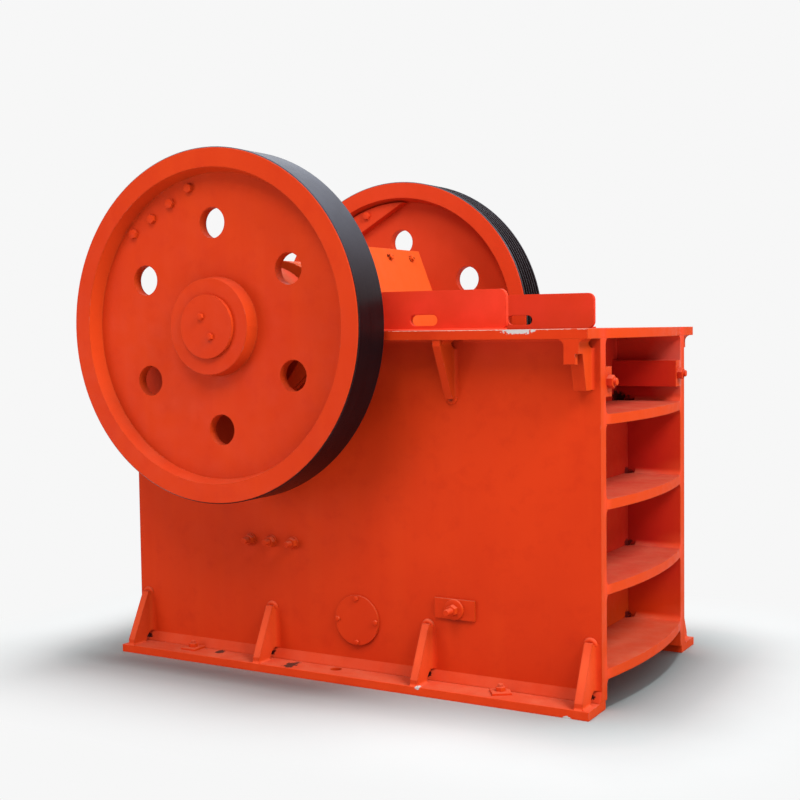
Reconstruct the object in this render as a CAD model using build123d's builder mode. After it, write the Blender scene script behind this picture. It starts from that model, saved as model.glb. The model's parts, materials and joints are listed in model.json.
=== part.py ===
from build123d import *
import math
import os

# Jaw crusher. Lengths are in millimetres and angles in degrees.
# X runs toward the feed end, Y across the machine and Z up from the floor.
# The flywheel stands on the left (minus Y) and the grooved sheave on the right.
os.makedirs("parts", exist_ok=True)
sides = ((-1, "left"), (1, "right"))

# Frame shell
frame_height = 1315.0
inner_width = 826.0
wall_thickness = 50.0
flange_thickness = 34.0
flange_reach = 117.0
foot_thickness = 30.0
foot_reach = 125.0
foot_inset = 15.0
foot_weld_rise = 38.0
foot_weld_run = 18.0
cut_overrun = 10.0

# Foot holes
anchor_setback = 336.0
anchor_shift = 26.0
anchor_reach = 47.0
anchor_hole_radius = 22.0

# Foot gussets
gusset_end_setback = 41.0
gusset_mid_share = 0.3563
gusset_thickness = 30.0
gusset_rise = 207.0
gusset_reach = 115.0
gusset_toe = 22.0
gusset_tip = 22.0
gusset_weld_gap = 2.0

# Ribs under the top flange
flange_rib_setback = 569.0
flange_rib_drop = 214.0
flange_rib_cope = 30.0

# Lifting lugs
lug_setback = 86.0
lug_thickness = 54.0
lug_web_step = 8.0
lug_drop = 176.0
lug_head_drop = 50.0
lug_web_reach = 82.0
lug_foot_reach = 50.0
lug_cope = 30.0
lug_tooth_drop = 35.0
lug_tooth_length = 42.0
lug_tooth_thickness = 22.0

# Ribbed end walls
bay_depth = 220.0
end_wall_thickness = 60.0
rib_base = 100.0
rib_thickness = 35.0
rib_bow = 40.0
rib_cope = 28.0
rib_bays = 4
rear_rib_count = 4

# Recess and side bars of the top front bay
recess_wall_thickness = 16.0
bar_lift = 59.0
bar_height = 104.0
bar_thickness = 56.0

# Hopper guards on the top flange
guard_rail_thickness = 20.0
guard_rail_height = 145.0
guard_rail_length = 705.0
guard_rail_corner = 28.0
guard_slot_setback = 333.0
guard_slot_rise = 37.0
guard_slot_length = 114.0
guard_slot_height = 40.0

# Side wall fittings
access_forward = 432.0
rod_lift = 82.0
access_radius = 75.0
access_cover_radius = 96.0
access_cover_thickness = 8.0
tie_setback = 563.0
tie_z = 301.0
tie_length = 164.0
tie_height = 74.0
tie_thickness = 10.0
tie_hole_radius = 13.0

# Crushing chamber
jaw_top_drop = 25.0
jaw_bottom = 190.0
gape = 500.0
discharge = 75.0
fixed_jaw_thickness = 84.0
swing_jaw_thickness = 80.0
jaw_side_gap = 10.0
tooth_height = 30.0
tooth_count = 8
tooth_tip_share = 0.28
tooth_root_share = 0.24
ledge_depth = 58.0
ledge_height = 50.0
cheek_thickness = 38.0
cheek_top_drop = 45.0
cheek_split_share = 0.473
cheek_gap = 6.0
cheek_setback = 110.0

# Shaft and bearings
head_setback = 552.0
axis_to_rear = 642.0
axis_rise = 25.0
eccentric_throw = 12.0
counterweight_angle = 120.0
running_clearance = 0.1
wheel_seat_radius = 75.0
main_journal_radius = 90.0
eccentric_journal_radius = 115.0
journal_margin = 4.0
seat_radius = 290.0
cap_radius = 240.0
cap_ear_height = 55.0
housing_width = 162.0
end_cover_radius = 185.0
end_cover_thickness = 18.0

# Wheels
wheel_gap = 22.0
wheel_radius = 661.0
wheel_rim_depth = 74.0
wheel_width = 176.0
wheel_web_inset = 78.0
wheel_web_thickness = 40.0
wheel_rim_draft = 14.0
wheel_rim_chamfer = 5.0
wheel_hub_radius = 179.0
wheel_hub_setback = 4.0
wheel_hub_draft = 8.0
wheel_hole_count = 6
wheel_hole_radius = 58.0
wheel_hole_pitch_share = 0.5123
wheel_hole_angle = 2.0
wheel_cap_radius = 119.0
wheel_cap_thickness = 14.0
groove_count = 6
groove_pitch = 25.5
groove_top_width = 22.0
groove_root_width = 12.0
groove_depth = 19.0
flywheel_weight_depth = 116.0
sheave_weight_depth = 87.0
weight_thickness = 45.0
weight_clearance = 2.0

# Pitman
head_radius = 272.0
front_plate_thickness = 70.0
web_thickness = 45.0
web_offset = 115.0
web_head_radius = 200.0
boss_radius = 85.0
pitman_cover_radius = 205.0
pitman_cover_thickness = 18.0
wedge_height = 70.0
wedge_tip_height = 45.0
wedge_setback = 30.0
wedge_inset = 65.0
splash_pad_rise = 65.0
splash_pad_depth = 90.0
splash_pad_length = 321.0
splash_plate_thickness = 16.0
splash_plate_lift = 12.0
splash_plate_length = 369.0
splash_gap = 46.0

# Toggle and its seat
toggle_forward = 487.0
toggle_z = 335.0
toggle_length = 440.0
toggle_slope = 160.0
toggle_end_radius = 28.0
toggle_thickness = 40.0
toggle_end_gap = 30.0
toggle_clearance = 1.5
toggle_side_clearance = 10.0
toggle_slot_length = 220.0
seat_fit = 0.3
block_seat_depth = 6.5
block_length = 240.0
block_below = 85.5
block_above = 84.5
block_gap = 5.0
rail_lead = 120.0
rail_length = 300.0
rail_rise = 36.5
rail_height = 60.0
rail_depth = 38.0
shim_thickness = 40.0
shim_margin = 12.0
shim_inset = 70.0
beam_depth = 90.0

# Tension rod
pin_radius = 18.0
pin_half_length = 72.0
lug_inner = 30.0
lug_plate_thickness = 36.0
lug_end_radius = 45.0
eye_radius = 52.0
eye_half_width = 22.0
eye_clearance = 2.0
eye_relief = 12.0
rod_radius = 24.0
rod_tail = 34.0
rod_hole_radius = 40.0
spring_radius = 55.0
spring_bore_radius = 30.0
spring_length = 170.0
spring_washer_radius = 62.0
spring_washer_thickness = 16.0
rod_nut_radius = 42.0
rod_nut_height = 40.0

# Widths and heights that follow from the sizes above
inner_half = inner_width / 2
wall_outer = inner_half + wall_thickness
flange_outer = wall_outer + flange_reach
flange_base = frame_height - flange_thickness
foot_inner = inner_half + foot_inset
foot_outer = wall_outer + foot_reach
anchor_offset_y = wall_outer + anchor_reach
gusset_cope = foot_weld_rise + gusset_weld_gap
rib_pitch = (flange_base - rib_base) / rib_bays
recess_base = rib_base + (rib_bays - 1) * rib_pitch + rib_thickness
bar_base = recess_base + bar_lift
access_z = rib_base + rib_thickness + rod_lift
axis_height = frame_height + axis_rise
housing_outer = inner_half + housing_width
end_cover_outer = housing_outer + end_cover_thickness
wheel_inner_face = end_cover_outer + wheel_gap
wheel_web_inner = wheel_inner_face + wheel_web_inset
wheel_web_outer = wheel_web_inner + wheel_web_thickness
wheel_face = wheel_inner_face + wheel_width
wheel_hub_face = wheel_face - wheel_hub_setback
wheel_recess_radius = wheel_radius - wheel_rim_depth
wheel_web_depth = wheel_recess_radius - wheel_hub_radius
wheel_hole_pitch_radius = wheel_hub_radius + wheel_hole_pitch_share * wheel_web_depth
weight_radius = wheel_recess_radius - wheel_rim_draft - weight_clearance
cheek_inner = inner_half - cheek_thickness
jaw_half = cheek_inner - jaw_side_gap
pitman_half = jaw_half
eccentric_half_length = pitman_half + pitman_cover_thickness + journal_margin
toggle_half = pitman_half - web_thickness - toggle_end_gap
block_shoulder_half = inner_half - block_gap
block_half = block_shoulder_half - rail_depth
shim_half = block_half - shim_inset

# Places along the machine that follow from the sizes above
frame_length = bay_depth + end_wall_thickness + fixed_jaw_thickness + gape + head_setback + axis_to_rear
x_front = frame_length / 2
x_rear = -x_front
x_front_wall = x_front - bay_depth
x_jaw_back = x_front_wall - end_wall_thickness
x_recess = x_jaw_back + recess_wall_thickness
x_fixed_jaw = x_jaw_back - fixed_jaw_thickness
x_swing_toe = x_fixed_jaw - discharge
x_axis = x_fixed_jaw - gape - head_setback
anchor_offset_x = x_front - anchor_setback
gusset_end_offset = x_front - gusset_end_setback
gusset_mid_offset = gusset_mid_share * gusset_end_offset
flange_rib_x = x_front - flange_rib_setback
lug_x = x_front - lug_setback
tie_x = x_front - tie_setback
access_x = x_axis + access_forward
toggle_x = x_axis + toggle_forward

# Jaw faces, crank and toggle that follow from the sizes above
jaw_top = frame_height - jaw_top_drop
jaw_run = gape - discharge
jaw_rise = jaw_top - jaw_bottom
jaw_length = math.hypot(jaw_run, jaw_rise)
lean_sin = jaw_run / jaw_length
lean_cos = jaw_rise / jaw_length
cheek_top = frame_height - cheek_top_drop
cheek_split = jaw_bottom + cheek_split_share * jaw_rise
crank_angle = math.radians(counterweight_angle + 180)
crank_x = eccentric_throw * math.cos(crank_angle)
crank_z = eccentric_throw * math.sin(crank_angle)
toggle_dir_x = math.cos(math.radians(toggle_slope))
toggle_dir_z = math.sin(math.radians(toggle_slope))
toggle_rear_x = toggle_x + toggle_length * toggle_dir_x
toggle_rear_z = toggle_z + toggle_length * toggle_dir_z
socket_radius = toggle_end_radius + eccentric_throw + toggle_clearance
eye_bore_radius = pin_radius + eccentric_throw + eye_clearance
block_front = toggle_rear_x - block_seat_depth
block_rear = block_front - block_length
block_base = toggle_rear_z - block_below
block_top = toggle_rear_z + block_above
rail_front = block_front + rail_lead
rail_rear = rail_front - rail_length
rail_top = toggle_rear_z + rail_rise
rail_base = rail_top - rail_height
x_beam = block_rear - shim_thickness
x_rear_inner = x_beam - beam_depth
x_rear_wall = x_rear_inner - end_wall_thickness
x_washer = x_rear_wall - spring_length - spring_washer_thickness
rod_end = x_washer - rod_nut_height - rod_tail

# Planes: the jaw plane has its x square to the swing jaw face and its y up along it
jaw_plane = Plane(
    origin=(x_swing_toe, 0, jaw_bottom),
    x_dir=(lean_cos, 0, lean_sin),
    z_dir=(0, -1, 0),
)
axis_plane = Plane(origin=(x_axis, 0, axis_height), x_dir=(1, 0, 0), z_dir=(0, 0, 1))
shaft_line = Axis((x_axis, 0, axis_height), (0, 1, 0))


def across(y):
    """Upright plane at one Y, drawn in X and Z."""
    return Plane.XZ.offset(-y)


def along(x):
    """Upright plane at one X, drawn in Y and Z."""
    return Plane.YZ.offset(x)


def level(z):
    """Flat plane at one height, drawn in X and Y."""
    return Plane.XY.offset(z)


def span(low_x, high_x, low_y, high_y, mode=Mode.ADD):
    """Rectangle between two corners of the open sketch."""
    corners = ((low_x, low_y), (high_x, low_y), (high_x, high_y), (low_x, high_y))
    Polygon(*corners, align=None, mode=mode)


def disc(x, y, radius, mode=Mode.ADD):
    """Circle about a point of the open sketch."""
    with Locations((x, y)):
        Circle(radius, mode=mode)


def in_jaw_plane(x, z):
    """Place of a point in the jaw plane."""
    dx = x - x_swing_toe
    dz = z - jaw_bottom
    return (dx * lean_cos + dz * lean_sin, dz * lean_cos - dx * lean_sin)


def toothed_outline(face, back, half_width, start_share):
    """Corner points of a jaw plate with straight teeth, from its low to its high side."""
    pitch = 2 * half_width / tooth_count
    depth = math.copysign(tooth_height, back - face)
    flank_share = (1 - tooth_tip_share - tooth_root_share) / 2
    points = [(back, -half_width), (face + depth, -half_width)]
    for tooth in range(-1, tooth_count + 1):
        start = -half_width + (tooth + start_share) * pitch
        rise = start + tooth_root_share * pitch
        tip = rise + flank_share * pitch
        fall = tip + tooth_tip_share * pitch
        foot = fall + flank_share * pitch
        if rise > -half_width and foot <= half_width:
            points += [(face + depth, rise), (face, tip), (face, fall), (face + depth, foot)]
    points += [(face + depth, half_width), (back, half_width)]
    return points


def bowed_plate(near_x, far_x, bow, cope):
    """Plate between the side walls with a bowed outer edge and coped inner corners."""
    with BuildLine() as outline:
        Polyline((far_x, -inner_half), (near_x, -inner_half), (near_x, inner_half), (far_x, inner_half))
        ThreePointArc((far_x, inner_half), (far_x + bow, 0), (far_x, -inner_half))
    make_face(outline.edges())
    if cope:
        disc(near_x, -inner_half, cope, Mode.SUBTRACT)
        disc(near_x, inner_half, cope, Mode.SUBTRACT)


def wheel_outline(side):
    """Half section of a wheel, as radius and Y, from the bore outward."""
    web_rim = wheel_recess_radius - wheel_rim_draft
    web_hub = wheel_hub_radius + wheel_hub_draft
    section = (
        (wheel_seat_radius, wheel_inner_face),
        (wheel_hub_radius, wheel_inner_face),
        (web_hub, wheel_web_inner),
        (web_rim, wheel_web_inner),
        (wheel_recess_radius, wheel_inner_face),
        (wheel_radius - wheel_rim_chamfer, wheel_inner_face),
        (wheel_radius, wheel_inner_face + wheel_rim_chamfer),
        (wheel_radius, wheel_face - wheel_rim_chamfer),
        (wheel_radius - wheel_rim_chamfer, wheel_face),
        (wheel_recess_radius, wheel_face),
        (web_rim, wheel_web_outer),
        (web_hub, wheel_web_outer),
        (wheel_hub_radius, wheel_hub_face),
        (wheel_seat_radius, wheel_hub_face),
    )
    return [(radius, side * y) for radius, y in section]


# Side walls with the long weld along the foot
for side, side_name in sides:
    with BuildPart() as side_wall:
        with BuildSketch(across(side * inner_half)):
            span(x_rear, x_front, foot_thickness, flange_base)
            disc(x_axis, axis_height, seat_radius, Mode.SUBTRACT)
            disc(access_x, access_z, access_radius, Mode.SUBTRACT)
        extrude(amount=-side * wall_thickness)
        with BuildSketch(along(x_rear)):
            Polygon(
                (side * wall_outer, foot_thickness),
                (side * (wall_outer + foot_weld_run), foot_thickness),
                (side * wall_outer, foot_thickness + foot_weld_rise),
                align=None,
            )
        extrude(amount=frame_length)
    side_wall.part.label = f"side_wall_{side_name}"
    export_step(side_wall.part, f"parts/side_wall_{side_name}.step")

# Top flanges, cut away round the bearing seats
for side, side_name in sides:
    with BuildPart() as top_flange:
        with BuildSketch(across(side * inner_half)):
            span(x_rear, x_front, flange_base, frame_height)
            disc(x_axis, axis_height, seat_radius, Mode.SUBTRACT)
        extrude(amount=-side * (flange_outer - inner_half))
    top_flange.part.label = f"top_flange_{side_name}"
    export_step(top_flange.part, f"parts/top_flange_{side_name}.step")

# Foot plates with their holes
for side, side_name in sides:
    with BuildPart() as foot:
        with BuildSketch(level(0)):
            span(x_rear, x_front, side * foot_inner, side * foot_outer)
            for hole_offset in (-anchor_offset_x, 0, anchor_offset_x):
                disc(hole_offset - anchor_shift, side * anchor_offset_y, anchor_hole_radius, Mode.SUBTRACT)
        extrude(amount=foot_thickness)
    foot.part.label = f"foot_{side_name}"
    export_step(foot.part, f"parts/foot_{side_name}.step")

# Gussets from the feet to the walls
for side, side_name in sides:
    with BuildPart() as foot_gussets:
        for gusset_x in (-gusset_end_offset, -gusset_mid_offset, gusset_mid_offset, gusset_end_offset):
            with BuildSketch(along(gusset_x)):
                Polygon(
                    (side * wall_outer, foot_thickness),
                    (side * (wall_outer + gusset_reach), foot_thickness),
                    (side * (wall_outer + gusset_reach), foot_thickness + gusset_toe),
                    (side * (wall_outer + gusset_tip), foot_thickness + gusset_rise),
                    (side * wall_outer, foot_thickness + gusset_rise),
                    align=None,
                )
                disc(side * wall_outer, foot_thickness, gusset_cope, Mode.SUBTRACT)
            extrude(amount=gusset_thickness / 2, both=True)
    foot_gussets.part.label = f"foot_gussets_{side_name}"
    export_step(foot_gussets.part, f"parts/foot_gussets_{side_name}.step")

# Front wall with the ledge that carries the fixed jaw plate, thin behind the top bay
with BuildPart() as front_wall:
    with BuildSketch(across(0)):
        span(x_jaw_back, x_front_wall, rib_base, recess_base)
        span(x_jaw_back, x_recess, recess_base, flange_base)
    extrude(amount=inner_half, both=True)
    with BuildSketch(across(0)):
        span(x_jaw_back - ledge_depth, x_jaw_back, jaw_bottom - ledge_height, jaw_bottom)
    extrude(amount=jaw_half, both=True)
front_wall.part.label = "front_wall"
export_step(front_wall.part, "parts/front_wall.step")

# Bowed ribs across the front
with BuildPart() as front_ribs:
    for rib in range(rib_bays):
        with BuildSketch(level(rib_base + rib * rib_pitch)):
            bowed_plate(x_front_wall, x_front, rib_bow, rib_cope)
        extrude(amount=rib_thickness)
front_ribs.part.label = "front_ribs"
export_step(front_ribs.part, "parts/front_ribs.step")

# Bowed plate that closes the front at the top
with BuildPart() as front_top_plate:
    with BuildSketch(level(flange_base)):
        bowed_plate(x_jaw_back, x_front, rib_bow, 0)
    extrude(amount=flange_thickness)
front_top_plate.part.label = "front_top_plate"
export_step(front_top_plate.part, "parts/front_top_plate.step")

# Tapered ribs under the top flanges
with BuildPart() as flange_gussets:
    for side, side_name in sides:
        with BuildSketch(along(flange_rib_x)):
            Polygon(
                (side * wall_outer, flange_base),
                (side * (wall_outer + gusset_reach), flange_base),
                (side * (wall_outer + gusset_reach), flange_base - gusset_toe),
                (side * (wall_outer + gusset_tip), flange_base - flange_rib_drop),
                (side * wall_outer, flange_base - flange_rib_drop),
                align=None,
            )
            disc(side * wall_outer, flange_base, flange_rib_cope, Mode.SUBTRACT)
        extrude(amount=gusset_thickness / 2, both=True)
flange_gussets.part.label = "flange_gussets"
export_step(flange_gussets.part, "parts/flange_gussets.step")

# Lifting lugs: a web with a broad head, and a tooth that hangs from the head
with BuildPart() as lifting_lugs:
    for side, side_name in sides:
        with BuildSketch(along(lug_x)):
            span(side * wall_outer, side * flange_outer, flange_base - lug_head_drop, flange_base)
            disc(side * wall_outer, flange_base, lug_cope, Mode.SUBTRACT)
        extrude(amount=lug_thickness)
        with BuildSketch(along(lug_x + lug_web_step)):
            Polygon(
                (side * wall_outer, flange_base - lug_head_drop),
                (side * (wall_outer + lug_web_reach), flange_base - lug_head_drop),
                (side * (wall_outer + lug_foot_reach), flange_base - lug_drop),
                (side * wall_outer, flange_base - lug_drop),
                align=None,
            )
        extrude(amount=lug_thickness - lug_web_step)
        with BuildSketch(along(lug_x)):
            span(
                side * (flange_outer - lug_tooth_thickness),
                side * flange_outer,
                flange_base - lug_head_drop - lug_tooth_drop,
                flange_base - lug_head_drop,
            )
        extrude(amount=lug_tooth_length)
lifting_lugs.part.label = "lifting_lugs"
export_step(lifting_lugs.part, "parts/lifting_lugs.step")

# Hopper guards standing on the flanges beside the feed opening
for side, side_name in sides:
    with BuildPart() as hopper_guard:
        with BuildSketch(across(side * inner_half)):
            guard_top = frame_height + guard_rail_height
            span(x_fixed_jaw - guard_rail_length, x_fixed_jaw, frame_height, guard_top)
            top_corners = vertices().group_by(Axis.Z)[-1]
            fillet(top_corners, radius=guard_rail_corner)
            with Locations((x_fixed_jaw - guard_slot_setback, frame_height + guard_slot_rise)):
                SlotOverall(guard_slot_length, guard_slot_height, mode=Mode.SUBTRACT)
        extrude(amount=-side * guard_rail_thickness)
    hopper_guard.part.label = f"hopper_guard_{side_name}"
    export_step(hopper_guard.part, f"parts/hopper_guard_{side_name}.step")

# Lower halves of the shaft bearings, let into the walls
for side, side_name in sides:
    with BuildPart() as bearing_seat:
        with BuildSketch(across(side * inner_half)):
            disc(x_axis, axis_height, seat_radius)
            span(
                x_axis - seat_radius - cut_overrun,
                x_axis + seat_radius + cut_overrun,
                axis_height,
                axis_height + seat_radius + cut_overrun,
                Mode.SUBTRACT,
            )
            disc(x_axis, axis_height, main_journal_radius + running_clearance, Mode.SUBTRACT)
        extrude(amount=-side * housing_width)
    bearing_seat.part.label = f"bearing_seat_{side_name}"
    export_step(bearing_seat.part, f"parts/bearing_seat_{side_name}.step")

# Upper halves of the shaft bearings with their bolting ears
for side, side_name in sides:
    with BuildPart() as bearing_cap:
        with BuildSketch(across(side * inner_half)):
            disc(x_axis, axis_height, cap_radius)
            span(x_axis - seat_radius, x_axis + seat_radius, axis_height, axis_height + cap_ear_height)
            span(
                x_axis - cap_radius - cut_overrun,
                x_axis + cap_radius + cut_overrun,
                axis_height - cap_radius - cut_overrun,
                axis_height,
                Mode.SUBTRACT,
            )
            disc(x_axis, axis_height, main_journal_radius + running_clearance, Mode.SUBTRACT)
        extrude(amount=-side * housing_width)
    bearing_cap.part.label = f"bearing_cap_{side_name}"
    export_step(bearing_cap.part, f"parts/bearing_cap_{side_name}.step")

# Round covers on the outer ends of the bearings
with BuildPart() as bearing_covers:
    for side, side_name in sides:
        with BuildSketch(across(side * housing_outer)):
            disc(x_axis, axis_height, end_cover_radius)
            disc(x_axis, axis_height, main_journal_radius + running_clearance, Mode.SUBTRACT)
        extrude(amount=-side * end_cover_thickness)
bearing_covers.part.label = "bearing_covers"
export_step(bearing_covers.part, "parts/bearing_covers.step")

# Bars along the walls of the top front bay, from the recess to the front edge
with BuildPart() as side_bars:
    for side, side_name in sides:
        with BuildSketch(across(side * inner_half)):
            span(x_recess, x_front, bar_base, bar_base + bar_height)
        extrude(amount=side * bar_thickness)
side_bars.part.label = "side_bars"
export_step(side_bars.part, "parts/side_bars.step")

# Round covers over the access holes
with BuildPart() as inspection_covers:
    for side, side_name in sides:
        with BuildSketch(across(side * wall_outer)):
            disc(access_x, access_z, access_cover_radius)
        extrude(amount=-side * access_cover_thickness)
inspection_covers.part.label = "inspection_covers"
export_step(inspection_covers.part, "parts/inspection_covers.step")

# Plates under the bolts that hold the lower cheek plates
with BuildPart() as tie_plates:
    for side, side_name in sides:
        with BuildSketch(across(side * wall_outer)):
            span(
                tie_x - tie_length / 2,
                tie_x + tie_length / 2,
                tie_z - tie_height / 2,
                tie_z + tie_height / 2,
            )
            disc(tie_x, tie_z, tie_hole_radius, Mode.SUBTRACT)
        extrude(amount=-side * tie_thickness)
tie_plates.part.label = "tie_plates"
export_step(tie_plates.part, "parts/tie_plates.step")

# Cheek plates, one above the other on each side of the chamber
for side, side_name in sides:
    with BuildPart() as cheek_plates:
        for low_z, high_z in ((jaw_bottom, cheek_split - cheek_gap), (cheek_split, cheek_top)):
            low_x = x_swing_toe - (low_z - jaw_bottom) * jaw_run / jaw_rise - cheek_setback
            high_x = x_swing_toe - (high_z - jaw_bottom) * jaw_run / jaw_rise - cheek_setback
            with BuildSketch(across(side * inner_half)):
                Polygon(
                    (low_x, low_z),
                    (x_jaw_back, low_z),
                    (x_jaw_back, high_z),
                    (high_x, high_z),
                    align=None,
                )
            extrude(amount=side * cheek_thickness)
    cheek_plates.part.label = f"cheek_plates_{side_name}"
    export_step(cheek_plates.part, f"parts/cheek_plates_{side_name}.step")

# Fixed jaw plate with straight upright teeth
with BuildPart() as fixed_jaw_plate:
    with BuildSketch(level(jaw_bottom)):
        Polygon(*toothed_outline(x_fixed_jaw, x_jaw_back, jaw_half, 0), align=None)
    extrude(amount=jaw_rise)
fixed_jaw_plate.part.label = "fixed_jaw_plate"
export_step(fixed_jaw_plate.part, "parts/fixed_jaw_plate.step")

# Rear wall with the hole of the tension rod
with BuildPart() as rear_wall:
    with BuildSketch(across(0)):
        span(x_rear_wall, x_rear_inner, rib_base, rib_base + (rear_rib_count - 1) * rib_pitch)
    extrude(amount=inner_half, both=True)
    with BuildSketch(along(x_rear_wall - cut_overrun)):
        disc(0, access_z, rod_hole_radius)
    extrude(amount=end_wall_thickness + 2 * cut_overrun, mode=Mode.SUBTRACT)
rear_wall.part.label = "rear_wall"
export_step(rear_wall.part, "parts/rear_wall.step")

# Beam before the rear wall that takes the thrust of the toggle
with BuildPart() as thrust_beam:
    with BuildSketch(across(0)):
        span(x_rear_inner, x_beam, block_base, block_top)
    extrude(amount=inner_half, both=True)
thrust_beam.part.label = "thrust_beam"
export_step(thrust_beam.part, "parts/thrust_beam.step")

# Bowed ribs across the rear
with BuildPart() as rear_ribs:
    for rib in range(rear_rib_count):
        with BuildSketch(level(rib_base + rib * rib_pitch)):
            bowed_plate(x_rear_wall, x_rear, -rib_bow, rib_cope)
        extrude(amount=rib_thickness)
rear_ribs.part.label = "rear_ribs"
export_step(rear_ribs.part, "parts/rear_ribs.step")

# Sliding block with the rear seat of the toggle
with BuildPart() as toggle_block:
    with BuildSketch(across(0)):
        span(block_rear, block_front, block_base, block_top)
    extrude(amount=block_half, both=True)
    with BuildSketch(across(0)):
        span(block_rear, block_front, rail_top, block_top)
    extrude(amount=block_shoulder_half, both=True)
    with BuildSketch(across(0)):
        disc(toggle_rear_x, toggle_rear_z, toggle_end_radius + seat_fit)
    extrude(amount=inner_half, both=True, mode=Mode.SUBTRACT)
toggle_block.part.label = "toggle_block"
export_step(toggle_block.part, "parts/toggle_block.step")

# Rails on the walls that carry the shoulders of the block
with BuildPart() as block_rails:
    for side, side_name in sides:
        with BuildSketch(across(side * inner_half)):
            span(rail_rear, rail_front, rail_base, rail_top)
        extrude(amount=side * rail_depth)
block_rails.part.label = "block_rails"
export_step(block_rails.part, "parts/block_rails.step")

# Shims between the block and the beam
with BuildPart() as shim_pack:
    with BuildSketch(across(0)):
        span(x_beam, block_rear, block_base + shim_margin, block_top - shim_margin)
    extrude(amount=shim_half, both=True)
shim_pack.part.label = "shim_pack"
export_step(shim_pack.part, "parts/shim_pack.step")

# Toggle plate with rounded ends
toggle_plane = Plane(
    origin=(toggle_x, 0, toggle_z),
    x_dir=(toggle_dir_x, 0, toggle_dir_z),
    z_dir=(0, -1, 0),
)
with BuildPart() as toggle_plate:
    with BuildSketch(toggle_plane):
        span(0, toggle_length, -toggle_thickness / 2, toggle_thickness / 2)
        disc(0, 0, toggle_end_radius)
        disc(toggle_length, 0, toggle_end_radius)
    extrude(amount=toggle_half, both=True)
toggle_plate.part.label = "toggle_plate"
export_step(toggle_plate.part, "parts/toggle_plate.step")

# Tension rod with the eye that hangs round the pin of the pitman
with BuildPart() as tension_rod:
    with BuildSketch(along(rod_end)):
        disc(0, access_z, rod_radius)
    extrude(amount=access_x - rod_end)
    with BuildSketch(across(0)):
        disc(access_x, access_z, eye_radius)
    extrude(amount=eye_half_width, both=True)
    with BuildSketch(across(0)):
        disc(access_x, access_z, eye_bore_radius)
    extrude(amount=eye_half_width + cut_overrun, both=True, mode=Mode.SUBTRACT)
tension_rod.part.label = "tension_rod"
export_step(tension_rod.part, "parts/tension_rod.step")

# Spring of the tension rod, as the sleeve that its coils fill
with BuildPart() as rod_spring:
    with BuildSketch(along(x_rear_wall - spring_length)):
        disc(0, access_z, spring_radius)
        disc(0, access_z, spring_bore_radius, Mode.SUBTRACT)
    extrude(amount=spring_length)
rod_spring.part.label = "rod_spring"
export_step(rod_spring.part, "parts/rod_spring.step")

# Washer and nut behind the spring
with BuildPart() as rod_nut:
    with BuildSketch(along(x_washer)):
        disc(0, access_z, spring_washer_radius)
    extrude(amount=spring_washer_thickness)
    with BuildSketch(along(x_washer - rod_nut_height)):
        with Locations((0, access_z)):
            RegularPolygon(rod_nut_radius, 6)
    extrude(amount=rod_nut_height)
    with BuildSketch(along(x_washer - rod_nut_height - cut_overrun)):
        disc(0, access_z, rod_radius)
    extrude(amount=rod_nut_height + spring_washer_thickness + 2 * cut_overrun, mode=Mode.SUBTRACT)
rod_nut.part.label = "rod_nut"
export_step(rod_nut.part, "parts/rod_nut.step")

# Shaft with its main journals, wheel seats and eccentric middle
with BuildPart() as eccentric_shaft:
    with BuildSketch(across(0)):
        disc(x_axis, axis_height, wheel_seat_radius)
    extrude(amount=wheel_hub_face, both=True)
    with BuildSketch(across(0)):
        disc(x_axis, axis_height, main_journal_radius)
    extrude(amount=wheel_inner_face, both=True)
    with BuildSketch(across(0)):
        disc(x_axis + crank_x, axis_height + crank_z, eccentric_journal_radius)
    extrude(amount=eccentric_half_length, both=True)
eccentric_shaft.part.label = "eccentric_shaft"
export_step(eccentric_shaft.part, "parts/eccentric_shaft.step")

# Flywheel with round holes through its web
with BuildPart() as flywheel:
    with BuildSketch(axis_plane):
        Polygon(*wheel_outline(-1), align=None)
    revolve(axis=shaft_line)
    with BuildSketch(across(-wheel_face)):
        with Locations((x_axis, axis_height)):
            with PolarLocations(wheel_hole_pitch_radius, wheel_hole_count, 30 + wheel_hole_angle):
                Circle(wheel_hole_radius)
    extrude(amount=-wheel_width, mode=Mode.SUBTRACT)
flywheel.part.label = "flywheel"
export_step(flywheel.part, "parts/flywheel.step")

# Sheave, the same casting with belt grooves round its rim
with BuildPart() as sheave:
    with BuildSketch(axis_plane):
        Polygon(*wheel_outline(1), align=None)
    revolve(axis=shaft_line)
    with BuildSketch(across(wheel_face)):
        with Locations((x_axis, axis_height)):
            with PolarLocations(wheel_hole_pitch_radius, wheel_hole_count, 30 + wheel_hole_angle):
                Circle(wheel_hole_radius)
    extrude(amount=wheel_width, mode=Mode.SUBTRACT)
    with BuildSketch(axis_plane):
        for groove in range(groove_count):
            groove_y = wheel_face - wheel_width / 2 + (groove - (groove_count - 1) / 2) * groove_pitch
            slope = (groove_top_width - groove_root_width) / 2 / groove_depth
            mouth_half = groove_top_width / 2 + slope * cut_overrun
            Polygon(
                (wheel_radius + cut_overrun, groove_y - mouth_half),
                (wheel_radius + cut_overrun, groove_y + mouth_half),
                (wheel_radius - groove_depth, groove_y + groove_root_width / 2),
                (wheel_radius - groove_depth, groove_y - groove_root_width / 2),
                align=None,
            )
    revolve(axis=shaft_line, mode=Mode.SUBTRACT)
sheave.part.label = "sheave"
export_step(sheave.part, "parts/sheave.step")

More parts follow.
